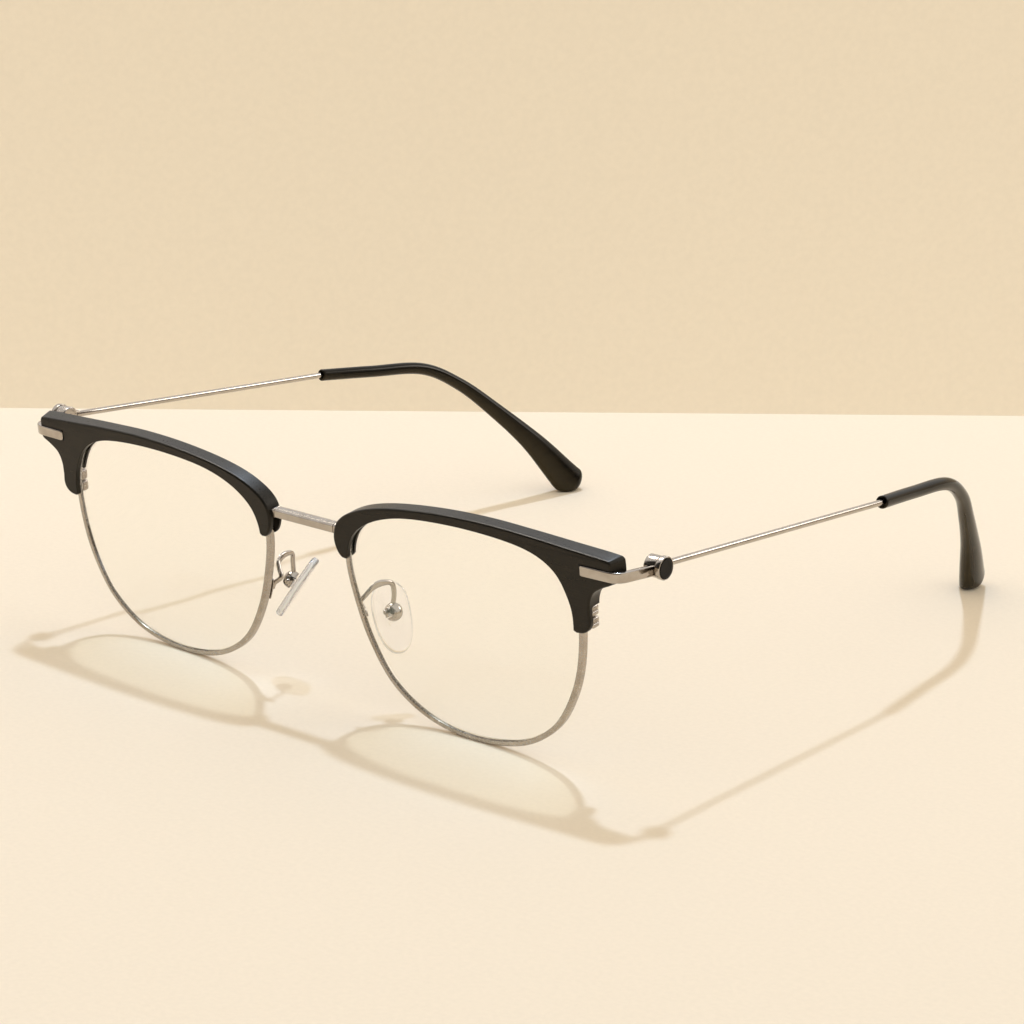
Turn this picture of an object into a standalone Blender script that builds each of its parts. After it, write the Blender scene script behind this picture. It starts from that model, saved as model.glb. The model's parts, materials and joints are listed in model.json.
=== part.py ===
# Reading glasses: metal rims under moulded brow caps, nose pads on screwed arms,
# and wire temples that fold on a screw through a slotted drum at each end.
# Lengths are in metres. +Z is up, the wearer looks along -Y, and +X is the wearer's left.
# Each half of the front is drawn in its own front frame: x across from the middle,
# y back from the rim wire's mid-plane, z up the leaning front.

import math

import bmesh
import bpy
from mathutils import Matrix, Vector

# Front: the two rims, seen square on, and how the front leans
RIM_WIDTH = 0.0520
RIM_HEIGHT = 0.0418
NOSE_GAP = 0.0194
FRONT_TILT = math.radians(7.5)
FRONT_WRAP = math.radians(1.6)

# Rim wire and the groove that holds the lens
RIM_RADIAL = 0.0010
RIM_DEPTH = 0.0015
RIM_EDGE = 0.0003
GROOVE_DEPTH = 0.0004
GROOVE_MOUTH = 0.0009

# Lens
LENS_EDGE = 0.0010
LENS_BEVEL = 0.0007
LENS_SHOULDER = 0.0001
LENS_FRONT_BULGE = 0.0015
LENS_REAR_BULGE = 0.0006

# Brow cap: a channel that straddles the top of the rim
BROW_FRONT = 0.0018
BROW_REAR = 0.0015
BROW_COVER = 0.00085
BROW_END_FLARE = 0.0010
BROW_EDGE = 0.00012

# Bridge bar and the lugs that join it to the rims
BRIDGE_LENGTH = 0.0147
BRIDGE_TALL = 0.0018
BRIDGE_FRONT = 0.0008
BRIDGE_REAR = 0.0018
BRIDGE_EDGE = 0.0003
LUG_TALL = 0.0012
LUG_DEPTH = 0.0012

# Rim lock: two blocks and a screw that close the rim on its lens
LOCK_WIDTH = 0.0019
LOCK_DEPTH = 0.0019
LOCK_TALL = 0.0020
LOCK_GAP = 0.00025
LOCK_EDGE = 0.00035
LOCK_OUTSET = 0.0006

# Endpiece: strip let into the brow, bracket behind it and slotted drum
STRIP_LENGTH = 0.0064
STRIP_TALL = 0.0019
STRIP_THICK = 0.0010
STRIP_PROUD = 0.00035
STRIP_EDGE = 0.00014
STRIP_BEND = 0.0026
STRIP_CORNER_OUT = 0.0013
STRIP_JOIN_OUT = 0.0006
BRACKET_LENGTH = 0.0066
BRACKET_TALL = 0.0016
BRACKET_THICK = 0.0009
DRUM_RADIUS = 0.0021
DRUM_INNER = 0.0014
DRUM_OUTER = 0.0021
DRUM_EDGE = 0.00015
DRUM_NECK = 0.00018
FLANGE_LENGTH = 0.0010
CAP_RECESS = 0.00035
CAP_LIP = 0.00035
HINGE_OUTSET = 0.0030
HINGE_SETBACK = 0.0071
HINGE_FALL = 0.00057
SLOT_HEIGHT = 0.0013

# Temple: eye in the drum's slot, spring wire and tip
EYE_RADIUS = 0.00115
NECK_WIDTH = 0.0011
NECK_LENGTH = 0.0034
WIRE_RADIUS = 0.0006
WIRE_START = 0.0026
TEMPLE_REACH = 0.1380
TIP_INSET = 0.0198
TIP_RADIUS = 0.00125
TIP_WIDE = 0.0042
TIP_THICK = 0.00175
TIP_ROUNDING = 0.0024
TIP_EDGE = 0.0003
TIP_MOUTH = 0.0003
TIP_MOUTH_DEPTH = 0.0007

# Nose pad, its screw box and its arm
PAD_LONG = 0.0134
PAD_WIDE = 0.0076
PAD_THICK = 0.0014
PAD_SPLAY = math.radians(28.5)
PAD_LEAN = math.radians(32.0)
PAD_PIVOT_UP = 0.0174
PAD_PIVOT_BACK = 0.0070
PAD_PIVOT_OUT = 0.0009
PAD_PIVOT_RISE = 0.00065
PIVOT_STANDOFF = 0.00125
PAD_ROCK_GAP = 0.0004
PAD_LUG_WIDTH = 0.0010
PAD_LUG_RADIUS = 0.00075
BOX_RADIUS = 0.0017
BOX_LENGTH = 0.0021
BOX_DOME = 0.0007
POCKET_TALL = 0.0022
BOX_WALL = 0.0004
ARM_RADIUS = 0.00045
ARM_FOOT_UP = 0.0182
ARM_FOOT_TALL = 0.0026
ARM_FOOT_WIDE = 0.0008
ARM_FOOT_THICK = 0.0003
ARM_FOOT_INSET = 0.0002
ARM_RISE = 0.0058
ARM_BOW = 0.0019

# Screws: head radius, head height, shank radius
HINGE_SCREW = (0.00070, 0.00040, 0.00045)
BROW_SCREW = (0.00075, 0.00045, 0.00045)
LOCK_SCREW = (0.00065, 0.00040, 0.00040)
PAD_SCREW = (0.00048, 0.00030, 0.00032)
BROW_SCREW_INSET = 0.0028
BROW_SCREW_TIP = 0.00035
BLIND_END = 0.0005
DRIVER_SLOT_WIDE = 0.00025
DRIVER_SLOT_DEEP = 0.00018

# Clearances, and the length by which a cutter runs past what it cuts
SEAT_GAP = 0.00008
RUNNING_GAP = 0.00012
OVERRUN = 0.0010

# Facets
CURVE_STEPS = 3
BROW_STEPS = 2
ARM_STEPS = 2
TIP_STEPS = 3
ROUND_SIDES = 20
SMALL_SIDES = 12
WIRE_SIDES = 8
TIP_SIDES = 12

# Rim centreline, from the lock at the temple side, down and round by the nose.
# Each pair is a share of RIM_WIDTH out from the nose and of RIM_HEIGHT up.
RIM_SHARES = [
    (1.000, 0.690), (0.988, 0.490), (0.948, 0.322), (0.872, 0.166), (0.745, 0.053),
    (0.590, 0.005), (0.430, 0.005), (0.285, 0.055), (0.160, 0.165), (0.075, 0.335),
    (0.026, 0.510), (0.000, 0.680), (0.018, 0.797), (0.070, 0.877), (0.165, 0.942),
    (0.300, 0.983), (0.500, 1.000), (0.700, 0.993), (0.835, 0.965), (0.925, 0.904),
    (0.976, 0.808),
]

# Outer outline of the brow's front face, from the nose tail over the top to the temple tail:
# shares of RIM_WIDTH and RIM_HEIGHT, then how much of BROW_END_FLARE the rear outline adds.
BROW_SHARES = [
    (0.000, 0.704, 0.0), (-0.022, 0.728, 0.0), (-0.033, 0.778, 0.0), (-0.030, 0.826, 0.0),
    (-0.012, 0.874, 0.0), (0.035, 0.925, 0.0), (0.121, 0.971, 0.0), (0.246, 1.002, 0.0),
    (0.429, 1.021, 0.0), (0.621, 1.026, 0.0), (0.813, 1.018, 0.0), (0.987, 1.004, 0.0),
    (1.118, 0.994, 0.4), (1.141, 0.983, 0.9), (1.148, 0.957, 1.0), (1.149, 0.907, 1.0),
    (1.133, 0.880, 0.7), (1.100, 0.861, 0.3), (1.070, 0.834, 0.0), (1.055, 0.790, 0.0),
    (1.052, 0.739, 0.0), (1.054, 0.694, 0.0), (1.044, 0.662, 0.0), (1.022, 0.643, 0.0),
    (0.996, 0.638, 0.0),
]
BROW_END_SHARE = 1.148
NOSE_TAIL_SHARE = 0.712
TEMPLE_TAIL_SHARE = 0.645
STRIP_UP_SHARE = 0.926
BRIDGE_UP_SHARE = 0.822
LOCK_RELIEF_SHARE = 0.762

# Temple line from the hinge: shares of TEMPLE_REACH back, of TIP_INSET inward
# and of the hinge's height down.
TEMPLE_SHARES = [
    (0.521, 0.076, 0.107), (0.622, 0.172, 0.140), (0.729, 0.263, 0.188),
    (0.801, 0.384, 0.318), (0.863, 0.561, 0.501), (0.925, 0.753, 0.692),
    (0.978, 0.929, 0.913), (1.000, 1.000, 1.000),
]
CORE_END_SHARE = 0.62

# Tip sections along its length: share of the length, then how much of the growth
# from TIP_RADIUS to TIP_WIDE and to TIP_THICK has been reached.
TIP_GROWTH_SHARES = [
    (0.00, 0.00, 0.00), (0.30, 0.04, 0.10), (0.48, 0.12, 0.20), (0.62, 0.28, 0.40),
    (0.76, 0.55, 0.70), (0.88, 0.86, 0.90), (1.00, 1.00, 1.00),
]

# Pad arm from its foot on the rim to the screw box: shares of the way back, of ARM_RISE up
# and of ARM_BOW towards the nose.
ARM_SHARES = [
    (0.00, 0.00, 0.00), (0.01, 0.25, 0.20), (0.11, 0.61, 0.95), (0.17, 0.92, 0.55),
    (0.32, 1.00, 0.40), (0.60, 0.99, 0.12), (0.90, 0.88, 0.00), (1.00, 0.56, -0.12),
]


class Side:
    """One half of the glasses: its name, its sign along X and the empties that place its pieces."""

    def __init__(self, name, sign):
        self.name = name
        self.sign = sign
        self.root = None
        self.front = None
        self.hinge = None
        self.temple = None
        self.pad_mount = None
        self.pad = None


def clear_scene():
    for obj in list(bpy.data.objects):
        bpy.data.objects.remove(obj, do_unlink=True)


def make_material(name, colour, roughness, metallic=0.0, alpha=1.0):
    material = bpy.data.materials.new(name)
    material.use_nodes = True
    shader = material.node_tree.nodes["Principled BSDF"]
    shader.inputs["Base Color"].default_value = (*colour, 1.0)
    shader.inputs["Roughness"].default_value = roughness
    shader.inputs["Metallic"].default_value = metallic
    shader.inputs["Alpha"].default_value = alpha
    material.diffuse_color = (*colour, alpha)
    return material


def make_materials():
    return {
        "silver": make_material("satin_silver_metal", (0.62, 0.60, 0.57), 0.30, 1.0),
        "polished": make_material("polished_silver_metal", (0.70, 0.68, 0.65), 0.14, 1.0),
        "brow": make_material("satin_black_moulding", (0.018, 0.018, 0.019), 0.42),
        "tip": make_material("gloss_black_acetate", (0.014, 0.012, 0.010), 0.16),
        "cap": make_material("black_enamel", (0.030, 0.024, 0.018), 0.30),
        "lens": make_material("clear_lens", (0.95, 0.97, 0.97), 0.02, 0.0, 0.2),
        "pad": make_material("clear_silicone", (0.92, 0.93, 0.95), 0.18, 0.0, 0.4),
    }


# Curves and outlines

def smooth_curve(points, steps, closed=False):
    """A Catmull-Rom curve through every given point."""
    count = len(points)
    spans = count if closed else count - 1
    curve = []
    for span in range(spans):
        near = [span + k for k in (-1, 0, 1, 2)]
        near = [k % count if closed else min(max(k, 0), count - 1) for k in near]
        a, b, c, d = (points[k] for k in near)
        for step in range(steps):
            t = step / steps
            bend = (2 * a - 5 * b + 4 * c - d) * t ** 2 + (3 * b - a - 3 * c + d) * t ** 3
            curve.append((2 * b + (c - a) * t + bend) / 2)
    if not closed:
        curve.append(points[-1].copy())
    return curve


def outline_normals(points):
    """Outward normals of a closed outline in the XZ plane."""
    count = len(points)
    area = sum(points[i - 1].x * points[i].z - points[i].x * points[i - 1].z for i in range(count))
    turn = 1 if area > 0 else -1
    normals = []
    for i in range(count):
        along = points[(i + 1) % count] - points[i - 1]
        normals.append(Vector((along.z, 0, -along.x)).normalized() * turn)
    return normals


def grown(points, distance):
    return [p + n * distance for p, n in zip(points, outline_normals(points))]


def front_point(share_out, share_up):
    return Vector((NOSE_GAP / 2 + share_out * RIM_WIDTH, 0, RIM_FOOT + share_up * RIM_HEIGHT))


def rim_profile():
    """Rim wire section as (outward, back) pairs, with the lens groove on its inner side."""
    half = RIM_RADIAL / 2
    deep = RIM_DEPTH / 2
    mouth = GROOVE_MOUTH / 2
    return [
        (half, deep - RIM_EDGE), (half - RIM_EDGE, deep), (-half, deep), (-half, mouth),
        (GROOVE_DEPTH - half, 0), (-half, -mouth), (-half, -deep), (half - RIM_EDGE, -deep),
        (half, RIM_EDGE - deep),
    ]


# The rim's lowest edge touches the ground when the front leans
RIM_FOOT = max(out - back * math.tan(FRONT_TILT) for out, back in rim_profile())
BROW_END = front_point(BROW_END_SHARE, 0).x
STRIP_UP = front_point(0, STRIP_UP_SHARE).z


def rim_outline():
    return smooth_curve([front_point(*shares) for shares in RIM_SHARES], CURVE_STEPS, closed=True)


def side_x(outline, height, nose_side):
    """Where the nose side or the temple side of an outline crosses a height."""
    middle = front_point(0.5, 0).x
    for a, b in zip(outline, outline[1:] + outline[:1]):
        low, high = sorted((a.z, b.z))
        if (a.x < middle) == nose_side and low <= height <= high and high > low:
            return a.x + (b.x - a.x) * (height - a.z) / (b.z - a.z)
    return middle


def nose_side_x(outline, height):
    return side_x(outline, height, True)


def tilt_matrix():
    return Matrix.Rotation(FRONT_TILT, 4, "X")


def front_matrix():
    return Matrix.Rotation(FRONT_WRAP, 4, "Z") @ tilt_matrix()


def hinge_point():
    local = Vector((BROW_END + HINGE_OUTSET, HINGE_SETBACK, STRIP_UP - HINGE_FALL))
    return front_matrix() @ local


def pad_axes():
    """Rotation of a pad: x along its short axis, y towards the nose, z up its long axis."""
    flat = math.cos(PAD_LEAN)
    normal = Vector((-flat * math.cos(PAD_SPLAY), flat * math.sin(PAD_SPLAY), -math.sin(PAD_LEAN)))
    upward = Vector((0, 0, 1))
    upward = (upward - normal * upward.dot(normal)).normalized()
    short = normal.cross(upward)
    return Matrix((short, normal, upward)).transposed().to_4x4()


def pad_pivot():
    nose_x = nose_side_x(rim_outline(), PAD_PIVOT_UP)
    return front_matrix() @ Vector((nose_x + PAD_PIVOT_OUT, PAD_PIVOT_BACK, PAD_PIVOT_UP))


def mirror_matrix(matrix):
    flip = Matrix.Diagonal((-1, 1, 1, 1))
    return flip @ matrix @ flip


# Mesh building

def loft(rings, closed=False):
    """A closed solid through rings that all have the same number of points."""
    bm = bmesh.new()
    loops = [[bm.verts.new(point) for point in ring] for ring in rings]
    pairs = list(zip(loops, loops[1:]))
    if closed:
        pairs.append((loops[-1], loops[0]))
    for first, second in pairs:
        for i in range(len(first)):
            bm.faces.new((first[i - 1], first[i], second[i], second[i - 1]))
    if not closed:
        bm.faces.new(loops[0])
        bm.faces.new(loops[-1])
    return bm


def path_frames(path, upward):
    """Side and up directions square to a path at each of its points."""
    frames = []
    for i, point in enumerate(path):
        along = path[min(i + 1, len(path) - 1)] - path[max(i - 1, 0)]
        across = upward.cross(along).normalized()
        frames.append((point, across, along.cross(across).normalized()))
    return frames


def sweep(path, section, upward):
    """A solid with one section, given as (across, up) pairs, carried along a path."""
    rings = []
    for point, across, up in path_frames(path, upward):
        rings.append([point + across * a + up * b for a, b in section])
    return loft(rings)


def ellipse(wide, tall, sides):
    turns = [2 * math.pi * i / sides for i in range(sides)]
    return [(wide * math.cos(t), tall * math.sin(t)) for t in turns]


def chamfered(wide, tall, edge):
    """Rectangle with its corners cut, as (across, up) pairs; sizes are half widths."""
    corners = [(wide, tall - edge), (wide - edge, tall)]
    corners += [(-a, b) for a, b in reversed(corners)]
    return corners + [(-a, -b) for a, b in corners]


def box(low, high):
    bm = bmesh.new()
    bmesh.ops.create_cube(bm, size=1)
    for vert in bm.verts:
        vert.co = Vector([low[k] if vert.co[k] < 0 else high[k] for k in range(3)])
    return bm


def prism(outline, front, rear):
    rings = [[Vector((p.x, y, p.z)) for p in outline] for y in (front, rear)]
    return loft(rings)


def turned(profile, sides):
    """A solid of revolution about Z from (radius, height) pairs, capped at both ends."""
    rings = []
    for radius, height in profile:
        rings.append([Vector((x, y, height)) for x, y in ellipse(radius, radius, sides)])
    return loft(rings)


def bevelled_disc(radius, low, high, edge, sides):
    return turned([(radius - edge, low), (radius, low + edge), (radius, high - edge),
                   (radius - edge, high)], sides)


def cylinder(radius, low, high, sides):
    return turned([(radius, low), (radius, high)], sides)


def moved(bm, matrix):
    bmesh.ops.transform(bm, matrix=matrix, verts=bm.verts)
    return bm


def add_object(side, name, bm, parent, material=None):
    """Add a mesh for one side; the right side is the left one mirrored."""
    if side.sign < 0:
        moved(bm, Matrix.Diagonal((-1, 1, 1, 1)))
    bmesh.ops.recalc_face_normals(bm, faces=bm.faces)
    mesh = bpy.data.meshes.new(name)
    bm.to_mesh(mesh)
    bm.free()
    obj = bpy.data.objects.new(name, mesh)
    bpy.context.scene.collection.objects.link(obj)
    obj.parent = parent
    if material is not None:
        mesh.materials.append(material)
        mesh.shade_smooth()
        mesh.set_sharp_from_angle(angle=math.radians(34))
    return obj


def add_boolean(side, obj, name, bm, operation="DIFFERENCE"):
    tool = add_object(side, obj.name + "_" + name, bm, obj.parent)
    tool.hide_render = True
    tool.display_type = "WIRE"
    modifier = obj.modifiers.new(name, "BOOLEAN")
    modifier.operation = operation
    modifier.object = tool
    modifier.solver = "EXACT"


def add_bevel(obj, width, angle):
    modifier = obj.modifiers.new("soft_edges", "BEVEL")
    modifier.width = width
    modifier.segments = 1
    modifier.limit_method = "ANGLE"
    modifier.angle_limit = math.radians(angle)


def add_screw(side, name, matrix, sizes, length, parent, material):
    """A slotted screw whose head stands on z = 0, with its shank running down from there."""
    head_radius, head_height, shank_radius = sizes
    edge = head_height / 3
    body = turned([(shank_radius - edge, -length), (shank_radius, edge - length), (shank_radius, 0),
                   (head_radius, 0), (head_radius, head_height - edge),
                   (head_radius - edge, head_height)], SMALL_SIDES)
    obj = add_object(side, f"{side.name}_{name}", moved(body, matrix), parent, material)
    reach = head_radius + OVERRUN
    slot = box((-reach, -DRIVER_SLOT_WIDE / 2, head_height - DRIVER_SLOT_DEEP),
               (reach, DRIVER_SLOT_WIDE / 2, head_height + OVERRUN))
    add_boolean(side, obj, "driver_slot", moved(slot, matrix))
    return obj


def add_empty(name, matrix, parent):
    empty = bpy.data.objects.new(name, None)
    bpy.context.scene.collection.objects.link(empty)
    empty.parent = parent
    empty.matrix_local = matrix
    return empty


# Front pieces

def build_rim(side, materials):
    outline = rim_outline()
    normals = outline_normals(outline)
    downward = (outline[1] - outline[0]).normalized() * (LOCK_GAP / 2)
    path = [outline[0] + downward] + outline[1:] + [outline[0] - downward]
    back = Vector((0, 1, 0))
    rings = []
    for point, normal in zip(path, normals + normals[:1]):
        rings.append([point + normal * out + back * deep for out, deep in rim_profile()])
    add_object(side, f"{side.name}_rim", loft(rings), side.front, materials["silver"])


def build_lens(side, materials):
    outline = rim_outline()
    groove_floor = grown(outline, GROOVE_DEPTH - RIM_RADIAL / 2 - SEAT_GAP)
    shoulder = grown(outline, -RIM_RADIAL / 2 - LENS_SHOULDER)
    centre = front_point(0.5, 0.5)

    def surface(share, edge, bulge):
        back = Vector((0, edge - bulge * (1 - share ** 2), 0))
        return [centre + (p - centre) * share + back for p in shoulder]

    rear = [surface(s, LENS_EDGE / 2, LENS_REAR_BULGE) for s in (0.5, 1)]
    front = [surface(s, -LENS_EDGE / 2, LENS_FRONT_BULGE) for s in (1, 0.7, 0.35)]
    bevel = [[p + Vector((0, back, 0)) for p in ring]
             for ring, back in ((shoulder, LENS_BEVEL / 2), (groove_floor, 0),
                                (shoulder, -LENS_BEVEL / 2))]
    add_object(side, f"{side.name}_lens", loft(rear + bevel + front), side.front, materials["lens"])


def brow_rings():
    """Front and rear outlines of the brow, with the inner edge taken from the rim."""
    front_points = []
    rear_points = []
    for out, up, flare in BROW_SHARES:
        point = front_point(out, up)
        front_points.append(point)
        rear_points.append(point + Vector((flare * BROW_END_FLARE, 0, 0)))
    outline = rim_outline()
    lowest = min(range(len(outline)), key=lambda i: outline[i].z)
    inner = grown(outline, -BROW_COVER)
    middle = front_point(0.5, 0).x
    nose_end = front_point(0, NOSE_TAIL_SHARE).z
    temple_end = front_point(0, TEMPLE_TAIL_SHARE).z
    ends = [Vector((side_x(inner, temple_end, False), 0, temple_end)),
            Vector((side_x(inner, nose_end, True), 0, nose_end))]
    inner = inner[lowest:] + inner[:lowest]
    inner = [p for p in inner if p.z > (nose_end if p.x < middle else temple_end) + BROW_EDGE]
    inner.reverse()
    inner = ends[:1] + inner + ends[1:]
    rings = []
    for points, back in ((front_points, -BROW_FRONT), (rear_points, BROW_REAR)):
        ring = smooth_curve(points, BROW_STEPS) + inner
        rings.append([p + Vector((0, back, 0)) for p in ring])
    return rings


def build_brow(side, materials):
    brow = add_object(side, f"{side.name}_brow", loft(brow_rings()), side.front, materials["brow"])
    slot_half = RIM_DEPTH / 2 + SEAT_GAP
    channel = prism(grown(rim_outline(), RIM_RADIAL / 2 + SEAT_GAP), -slot_half, slot_half)
    add_boolean(side, brow, "rim_channel", channel)
    bridge_up = front_point(0, BRIDGE_UP_SHARE).z
    nose = nose_side_x(rim_outline(), bridge_up)
    lug_way = box((0, -slot_half, 0), (nose, slot_half, bridge_up + LUG_TALL / 2 + SEAT_GAP * 2))
    add_boolean(side, brow, "lug_way", lug_way)
    relief_up = front_point(0, LOCK_RELIEF_SHARE).z
    relief = box((front_point(0.5, 0).x, -slot_half, 0),
                 (BROW_END, BROW_REAR + OVERRUN, relief_up))
    add_boolean(side, brow, "lock_relief", relief)
    add_boolean(side, brow, "strip_notch", strip_cutter())
    radius = BROW_SCREW[2] + SEAT_GAP
    bore = cylinder(radius, -BROW_SCREW_TIP - SEAT_GAP, BROW_REAR + OVERRUN, SMALL_SIDES)
    add_boolean(side, brow, "screw_bore", moved(bore, brow_screw_matrix()))
    add_bevel(brow, BROW_EDGE, 50)


def build_bridge(side, materials):
    """The bar and its two lugs; the bridge is one piece on the middle plane."""
    section = chamfered((BRIDGE_FRONT + BRIDGE_REAR) / 2, BRIDGE_TALL / 2, BRIDGE_EDGE)
    centre_back = (BRIDGE_REAR - BRIDGE_FRONT) / 2
    up = front_point(0, BRIDGE_UP_SHARE).z
    half = BRIDGE_LENGTH / 2
    path = [Vector((x, centre_back, up)) for x in (half, -half)]
    bridge = add_object(side, "bridge", sweep(path, section, Vector((0, 0, 1))), side.front,
                        materials["silver"])
    outer = grown(rim_outline(), RIM_RADIAL / 2 + SEAT_GAP)
    root = half - BRIDGE_EDGE
    lean = math.tan(FRONT_WRAP)
    for name, sign in (("lug_left", 1), ("lug_right", -1)):
        rings = []
        for back in (-LUG_DEPTH / 2, LUG_DEPTH / 2):
            low = up - LUG_TALL / 2
            high = up + LUG_TALL / 2
            corners = [(root, low), (nose_side_x(outer, low), low),
                       (nose_side_x(outer, high), high), (root, high)]
            rings.append([Vector((sign * x, back + x * lean, z)) for x, z in corners])
        add_boolean(side, bridge, name, loft(rings), "UNION")


def lock_blocks():
    """Low and high corners of the two lock blocks in the front frame."""
    wire = rim_outline()[0]
    low_x = wire.x + LOCK_OUTSET - LOCK_WIDTH / 2
    low_y = RIM_DEPTH / 2 + SEAT_GAP
    half_gap = LOCK_GAP / 2
    lower = ((low_x, low_y, wire.z - half_gap - LOCK_TALL),
             (low_x + LOCK_WIDTH, low_y + LOCK_DEPTH, wire.z - half_gap))
    upper = ((low_x, low_y, wire.z + half_gap),
             (low_x + LOCK_WIDTH, low_y + LOCK_DEPTH, wire.z + half_gap + LOCK_TALL))
    return {"lower": lower, "upper": upper}


def build_lock(side, materials):
    blocks = lock_blocks()
    low, high = blocks["upper"]
    centre_x = (low[0] + high[0]) / 2
    centre_y = (low[1] + high[1]) / 2
    head_radius, head_height, shank_radius = LOCK_SCREW
    seat = Matrix.Translation((centre_x, centre_y, high[2] + SEAT_GAP))
    tip = 2 * LOCK_TALL + LOCK_GAP - BLIND_END
    for name, (low, high) in blocks.items():
        block = add_object(side, f"{side.name}_rim_lock_{name}", box(low, high), side.front,
                           materials["silver"])
        bore = cylinder(shank_radius + SEAT_GAP, -tip - SEAT_GAP, OVERRUN, SMALL_SIDES)
        add_bevel(block, LOCK_EDGE, 30)
        add_boolean(side, block, "bore", moved(bore, seat))
    add_screw(side, "rim_lock_screw", seat, LOCK_SCREW, tip, side.front, materials["silver"])


# Endpiece

def strip_path():
    """Centreline of the strip: along the brow's face, round its end and back to the drum."""
    back = STRIP_THICK / 2 - BROW_FRONT - STRIP_PROUD
    start = Vector((BROW_END - STRIP_LENGTH, back, 0))
    corner = Vector((BROW_END + STRIP_CORNER_OUT, back, 0))
    join = Vector((BROW_END + HINGE_OUTSET + STRIP_JOIN_OUT, HINGE_SETBACK - DRUM_RADIUS * 0.8, 0))
    into = (corner - start).normalized()
    away = (join - corner).normalized()
    turn = into.angle(away)
    reach = STRIP_BEND * math.tan(turn / 2)
    first = corner - into * reach
    centre = first + Vector((0, STRIP_BEND, 0))
    path = [start]
    steps = 6
    for i in range(steps + 1):
        angle = turn * i / steps
        path.append(centre + Vector((math.sin(angle), -math.cos(angle), 0)) * STRIP_BEND)
    path.append(join)
    for point in path:
        share = (point.y - back) / (join.y - back)
        point.z = STRIP_UP - HINGE_FALL * share
    return path


def strip_cutter():
    path = strip_path()
    path[0] -= Vector((SEAT_GAP, 0, 0))
    inner = STRIP_THICK / 2 + SEAT_GAP
    outer = STRIP_THICK / 2 + OVERRUN
    half = STRIP_TALL / 2 + SEAT_GAP
    section = [(-outer, -half), (inner, -half), (inner, half), (-outer, half)]
    return sweep(path, section, Vector((0, 0, 1)))


def bracket_corners():
    low_y = BROW_REAR + SEAT_GAP
    high_y = low_y + BRACKET_THICK
    path = strip_path()
    bend_end, join = path[-2], path[-1]
    share = ((low_y + high_y) / 2 - bend_end.y) / (join.y - bend_end.y)
    met = bend_end.lerp(join, share)
    low_z = met.z - BRACKET_TALL / 2
    return (BROW_END - BRACKET_LENGTH, low_y, low_z), (met.x, high_y, low_z + BRACKET_TALL)


def brow_screw_matrix():
    """Head seat of the brow screw: z points back, out of the bracket's rear face."""
    low, high = bracket_corners()
    seat = Vector((low[0] + BROW_SCREW_INSET, 0, (low[2] + high[2]) / 2))
    return Matrix.Translation(seat) @ Matrix.Rotation(math.radians(-90), 4, "X")


def drum_profile():
    """Half section of the drum as (radius, distance out from the hinge axis)."""
    body = DRUM_RADIUS - DRUM_EDGE
    flange = DRUM_OUTER - FLANGE_LENGTH
    recess = DRUM_RADIUS - CAP_LIP
    return [
        (body - DRUM_EDGE, -DRUM_INNER), (body, DRUM_EDGE - DRUM_INNER), (body, flange - DRUM_NECK),
        (body - DRUM_NECK, flange - DRUM_NECK), (body - DRUM_NECK, flange),
        (DRUM_RADIUS - DRUM_EDGE, flange), (DRUM_RADIUS, flange + DRUM_EDGE),
        (DRUM_RADIUS, DRUM_OUTER - DRUM_EDGE), (DRUM_RADIUS - DRUM_EDGE, DRUM_OUTER),
        (recess, DRUM_OUTER), (recess, DRUM_OUTER - CAP_RECESS),
    ]


def along_x(bm):
    """Turn a solid made about Z so that its axis lies along X."""
    return moved(bm, Matrix.Rotation(math.radians(90), 4, "Y"))


def build_endpiece(side, materials):
    front = front_matrix()
    at_hinge = Matrix.Translation(hinge_point())
    section = chamfered(STRIP_THICK / 2, STRIP_TALL / 2, STRIP_EDGE)
    strip = moved(sweep(strip_path(), section, Vector((0, 0, 1))), front)
    piece = add_object(side, f"{side.name}_endpiece", strip, side.root, materials["polished"])
    add_boolean(side, piece, "bracket", moved(box(*bracket_corners()), front), "UNION")
    drum = along_x(turned(drum_profile(), ROUND_SIDES))
    add_boolean(side, piece, "drum", moved(drum, at_hinge), "UNION")

    wall = EYE_RADIUS + RUNNING_GAP
    slot = box((-DRUM_INNER - OVERRUN, -wall, -SLOT_HEIGHT / 2),
               (wall, DRUM_RADIUS + OVERRUN, SLOT_HEIGHT / 2))
    add_boolean(side, piece, "slot", moved(slot, at_hinge))

    head_radius, head_height, shank_radius = HINGE_SCREW
    seat = head_height - DRUM_RADIUS + DRUM_EDGE * 2
    well = cylinder(head_radius + SEAT_GAP, -DRUM_RADIUS - OVERRUN, seat, SMALL_SIDES)
    add_boolean(side, piece, "screw_well", moved(well, at_hinge))
    bore = cylinder(shank_radius + SEAT_GAP, seat - OVERRUN, hinge_screw_top() + SEAT_GAP,
                    SMALL_SIDES)
    add_boolean(side, piece, "screw_bore", moved(bore, at_hinge))

    shank = BROW_SCREW[2] + SEAT_GAP
    hole = cylinder(shank, 0, BROW_REAR + BRACKET_THICK + OVERRUN, SMALL_SIDES)
    add_boolean(side, piece, "brow_screw_hole", moved(hole, front @ brow_screw_matrix()))


def hinge_screw_top():
    return DRUM_RADIUS - BLIND_END


def build_endpiece_screws(side, materials):
    head_height = HINGE_SCREW[1]
    seat = head_height - DRUM_RADIUS + DRUM_EDGE * 2 - SEAT_GAP
    turn = Matrix.Translation((0, 0, seat)) @ Matrix.Rotation(math.radians(180), 4, "X")
    add_screw(side, "hinge_screw", turn, HINGE_SCREW, hinge_screw_top() - seat, side.hinge,
              materials["silver"])
    rear = BROW_REAR + BRACKET_THICK + SEAT_GAP * 2
    matrix = brow_screw_matrix() @ Matrix.Translation((0, 0, rear))
    add_screw(side, "brow_screw", matrix, BROW_SCREW, rear + BROW_SCREW_TIP, side.front,
              materials["silver"])


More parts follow.
